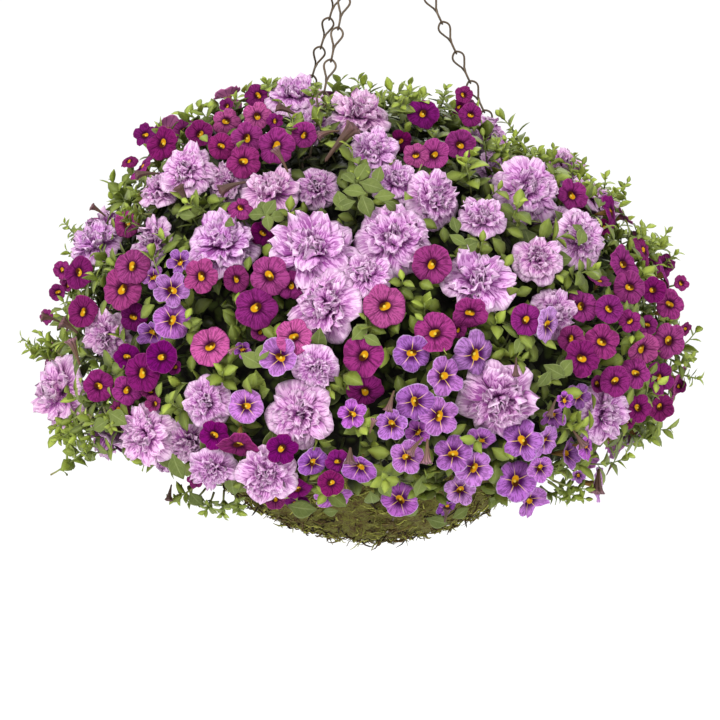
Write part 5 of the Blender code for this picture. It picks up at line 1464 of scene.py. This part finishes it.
def set_stage(sizes, colours):
    scene = bpy.context.scene
    scene.view_settings.view_transform = "Standard"
    scene.view_settings.look = "None"
    half_side = 60.0
    mesh = bpy.data.meshes.new("floor")
    corners = [(x * half_side, y * half_side, -sizes.floor_depth)
               for x, y in ((-1, -1), (1, -1), (1, 1), (-1, 1))]
    mesh.from_pydata(corners, [], [(0, 1, 2, 3)])
    floor = bpy.data.objects.new("floor", mesh)
    scene.collection.objects.link(floor)
    graph = Finish("Floor")
    grain = graph.noise(graph.place(), 3.0, 2.0)
    mesh.materials.append(graph.close(graph.mix(grain, colours.floor, WHITE), 0.9))

    world = bpy.data.worlds.new("Studio")
    world.use_nodes = True
    scene.world = world
    sky = world.node_tree.nodes["Background"]
    sky.inputs["Color"].default_value = (1.0, 1.0, 1.0, 1.0)
    sky.inputs["Strength"].default_value = 1.05

    middle = (0.0, 0.0, -0.40)
    area_light("key", (-0.9, -2.1, 1.1), middle, 0.9, 34.0, (1.0, 0.98, 0.95))
    area_light("fill", (1.9, -1.6, 0.1), middle, 1.4, 5.0)
    area_light("back", (0.6, 2.2, 1.2), middle, 1.4, 16.0)

    _, ahead, _ = view_axes()
    target = view_target()
    camera = bpy.data.cameras.new("camera")
    camera.sensor_width = SENSOR * 1000
    camera.lens = camera.sensor_width * VIEW_DISTANCE / (2 * PICTURE_MIDDLE * PIXEL)
    camera.clip_end = 200.0
    seat = bpy.data.objects.new("camera", camera)
    seat.location = target - VIEW_DISTANCE * ahead
    seat.rotation_euler = Vector(ahead).to_track_quat("-Z", "Y").to_euler()
    scene.collection.objects.link(seat)
    scene.camera = seat


# Operators and panel

def settings_of(context):
    """The sizes and the colours that the scene holds."""
    return context.scene.basket_sizes, context.scene.basket_colours


class BasketStage(bpy.types.Operator):
    """Floor, lights and camera."""

    bl_idname = "basket.stage"
    bl_label = "Stage"

    def execute(self, context):
        sizes, colours = settings_of(context)
        set_stage(sizes, colours)
        return {"FINISHED"}


class BasketHook(bpy.types.Operator):
    """Hook and chains."""

    bl_idname = "basket.hook"
    bl_label = "Hook and chains"

    def execute(self, context):
        sizes, colours = settings_of(context)
        hook_piece(colours)
        chain_pieces(sizes, colours)
        return {"FINISHED"}


class BasketBowl(bpy.types.Operator):
    """Wire basket, moss and soil."""

    bl_idname = "basket.bowl"
    bl_label = "Basket, moss and soil"

    def execute(self, context):
        sizes, colours = settings_of(context)
        basket_piece(sizes, colours)
        moss_pieces(sizes, colours)
        soil_piece(colours)
        return {"FINISHED"}


class BasketFoliage(bpy.types.Operator):
    """Inner growth, leaves, stems and stalks."""

    bl_idname = "basket.foliage"
    bl_label = "Foliage"

    def execute(self, context):
        sizes, colours = settings_of(context)
        growth_piece()
        leaf_pieces(sizes, colours)
        broad_leaf_piece(sizes, colours)
        stalk_piece()
        return {"FINISHED"}


class BasketSingles(bpy.types.Operator):
    """Magenta and violet calibrachoa, and withered trumpets."""

    bl_idname = "basket.singles"
    bl_label = "Calibrachoa blooms"

    def execute(self, context):
        _, colours = settings_of(context)
        magenta = corolla_finish("Magenta petal", colours, colours.magenta, from_srgb(118, 10, 112),
                                 colours.rose, False)
        violet = corolla_finish("Violet petal", colours, colours.violet, from_srgb(156, 80, 192),
                                from_srgb(214, 158, 222), True)
        single_piece("magenta", MAGENTA, magenta, 0.10, SEED + 31)
        single_piece("violet", VIOLET, violet, 0.17, SEED + 37)
        bud_piece()
        return {"FINISHED"}


class BasketDoubles(bpy.types.Operator):
    """Lilac double petunias."""

    bl_idname = "basket.doubles"
    bl_label = "Double petunias"

    def execute(self, context):
        _, colours = settings_of(context)
        double_pieces(colours)
        return {"FINISHED"}


class BasketPanel(bpy.types.Panel):
    """Lists the pieces and their settings."""

    bl_idname = "VIEW3D_PT_basket"
    bl_label = "Hanging basket"
    bl_space_type = "VIEW_3D"
    bl_region_type = "UI"
    bl_category = "Basket"

    def draw(self, context):
        for operator in OPERATORS:
            self.layout.operator(operator.bl_idname)
        for settings in settings_of(context):
            box = self.layout.box()
            for name in settings.bl_rna.properties.keys():
                if name not in ("rna_type", "name"):
                    box.prop(settings, name)


OPERATORS = (BasketStage, BasketHook, BasketBowl, BasketFoliage, BasketSingles, BasketDoubles)
CLASSES = (BasketSizes, BasketColours) + OPERATORS + (BasketPanel,)


def register():
    for item in CLASSES:
        bpy.utils.register_class(item)
    bpy.types.Scene.basket_sizes = bpy.props.PointerProperty(type=BasketSizes)
    bpy.types.Scene.basket_colours = bpy.props.PointerProperty(type=BasketColours)


def unregister():
    del bpy.types.Scene.basket_colours
    del bpy.types.Scene.basket_sizes
    for item in reversed(CLASSES):
        bpy.utils.unregister_class(item)


def main():
    register()
    bpy.ops.basket.stage()
    bpy.ops.basket.hook()
    bpy.ops.basket.bowl()
    bpy.ops.basket.foliage()
    bpy.ops.basket.singles()
    bpy.ops.basket.doubles()


if __name__ == "__main__":
    main()
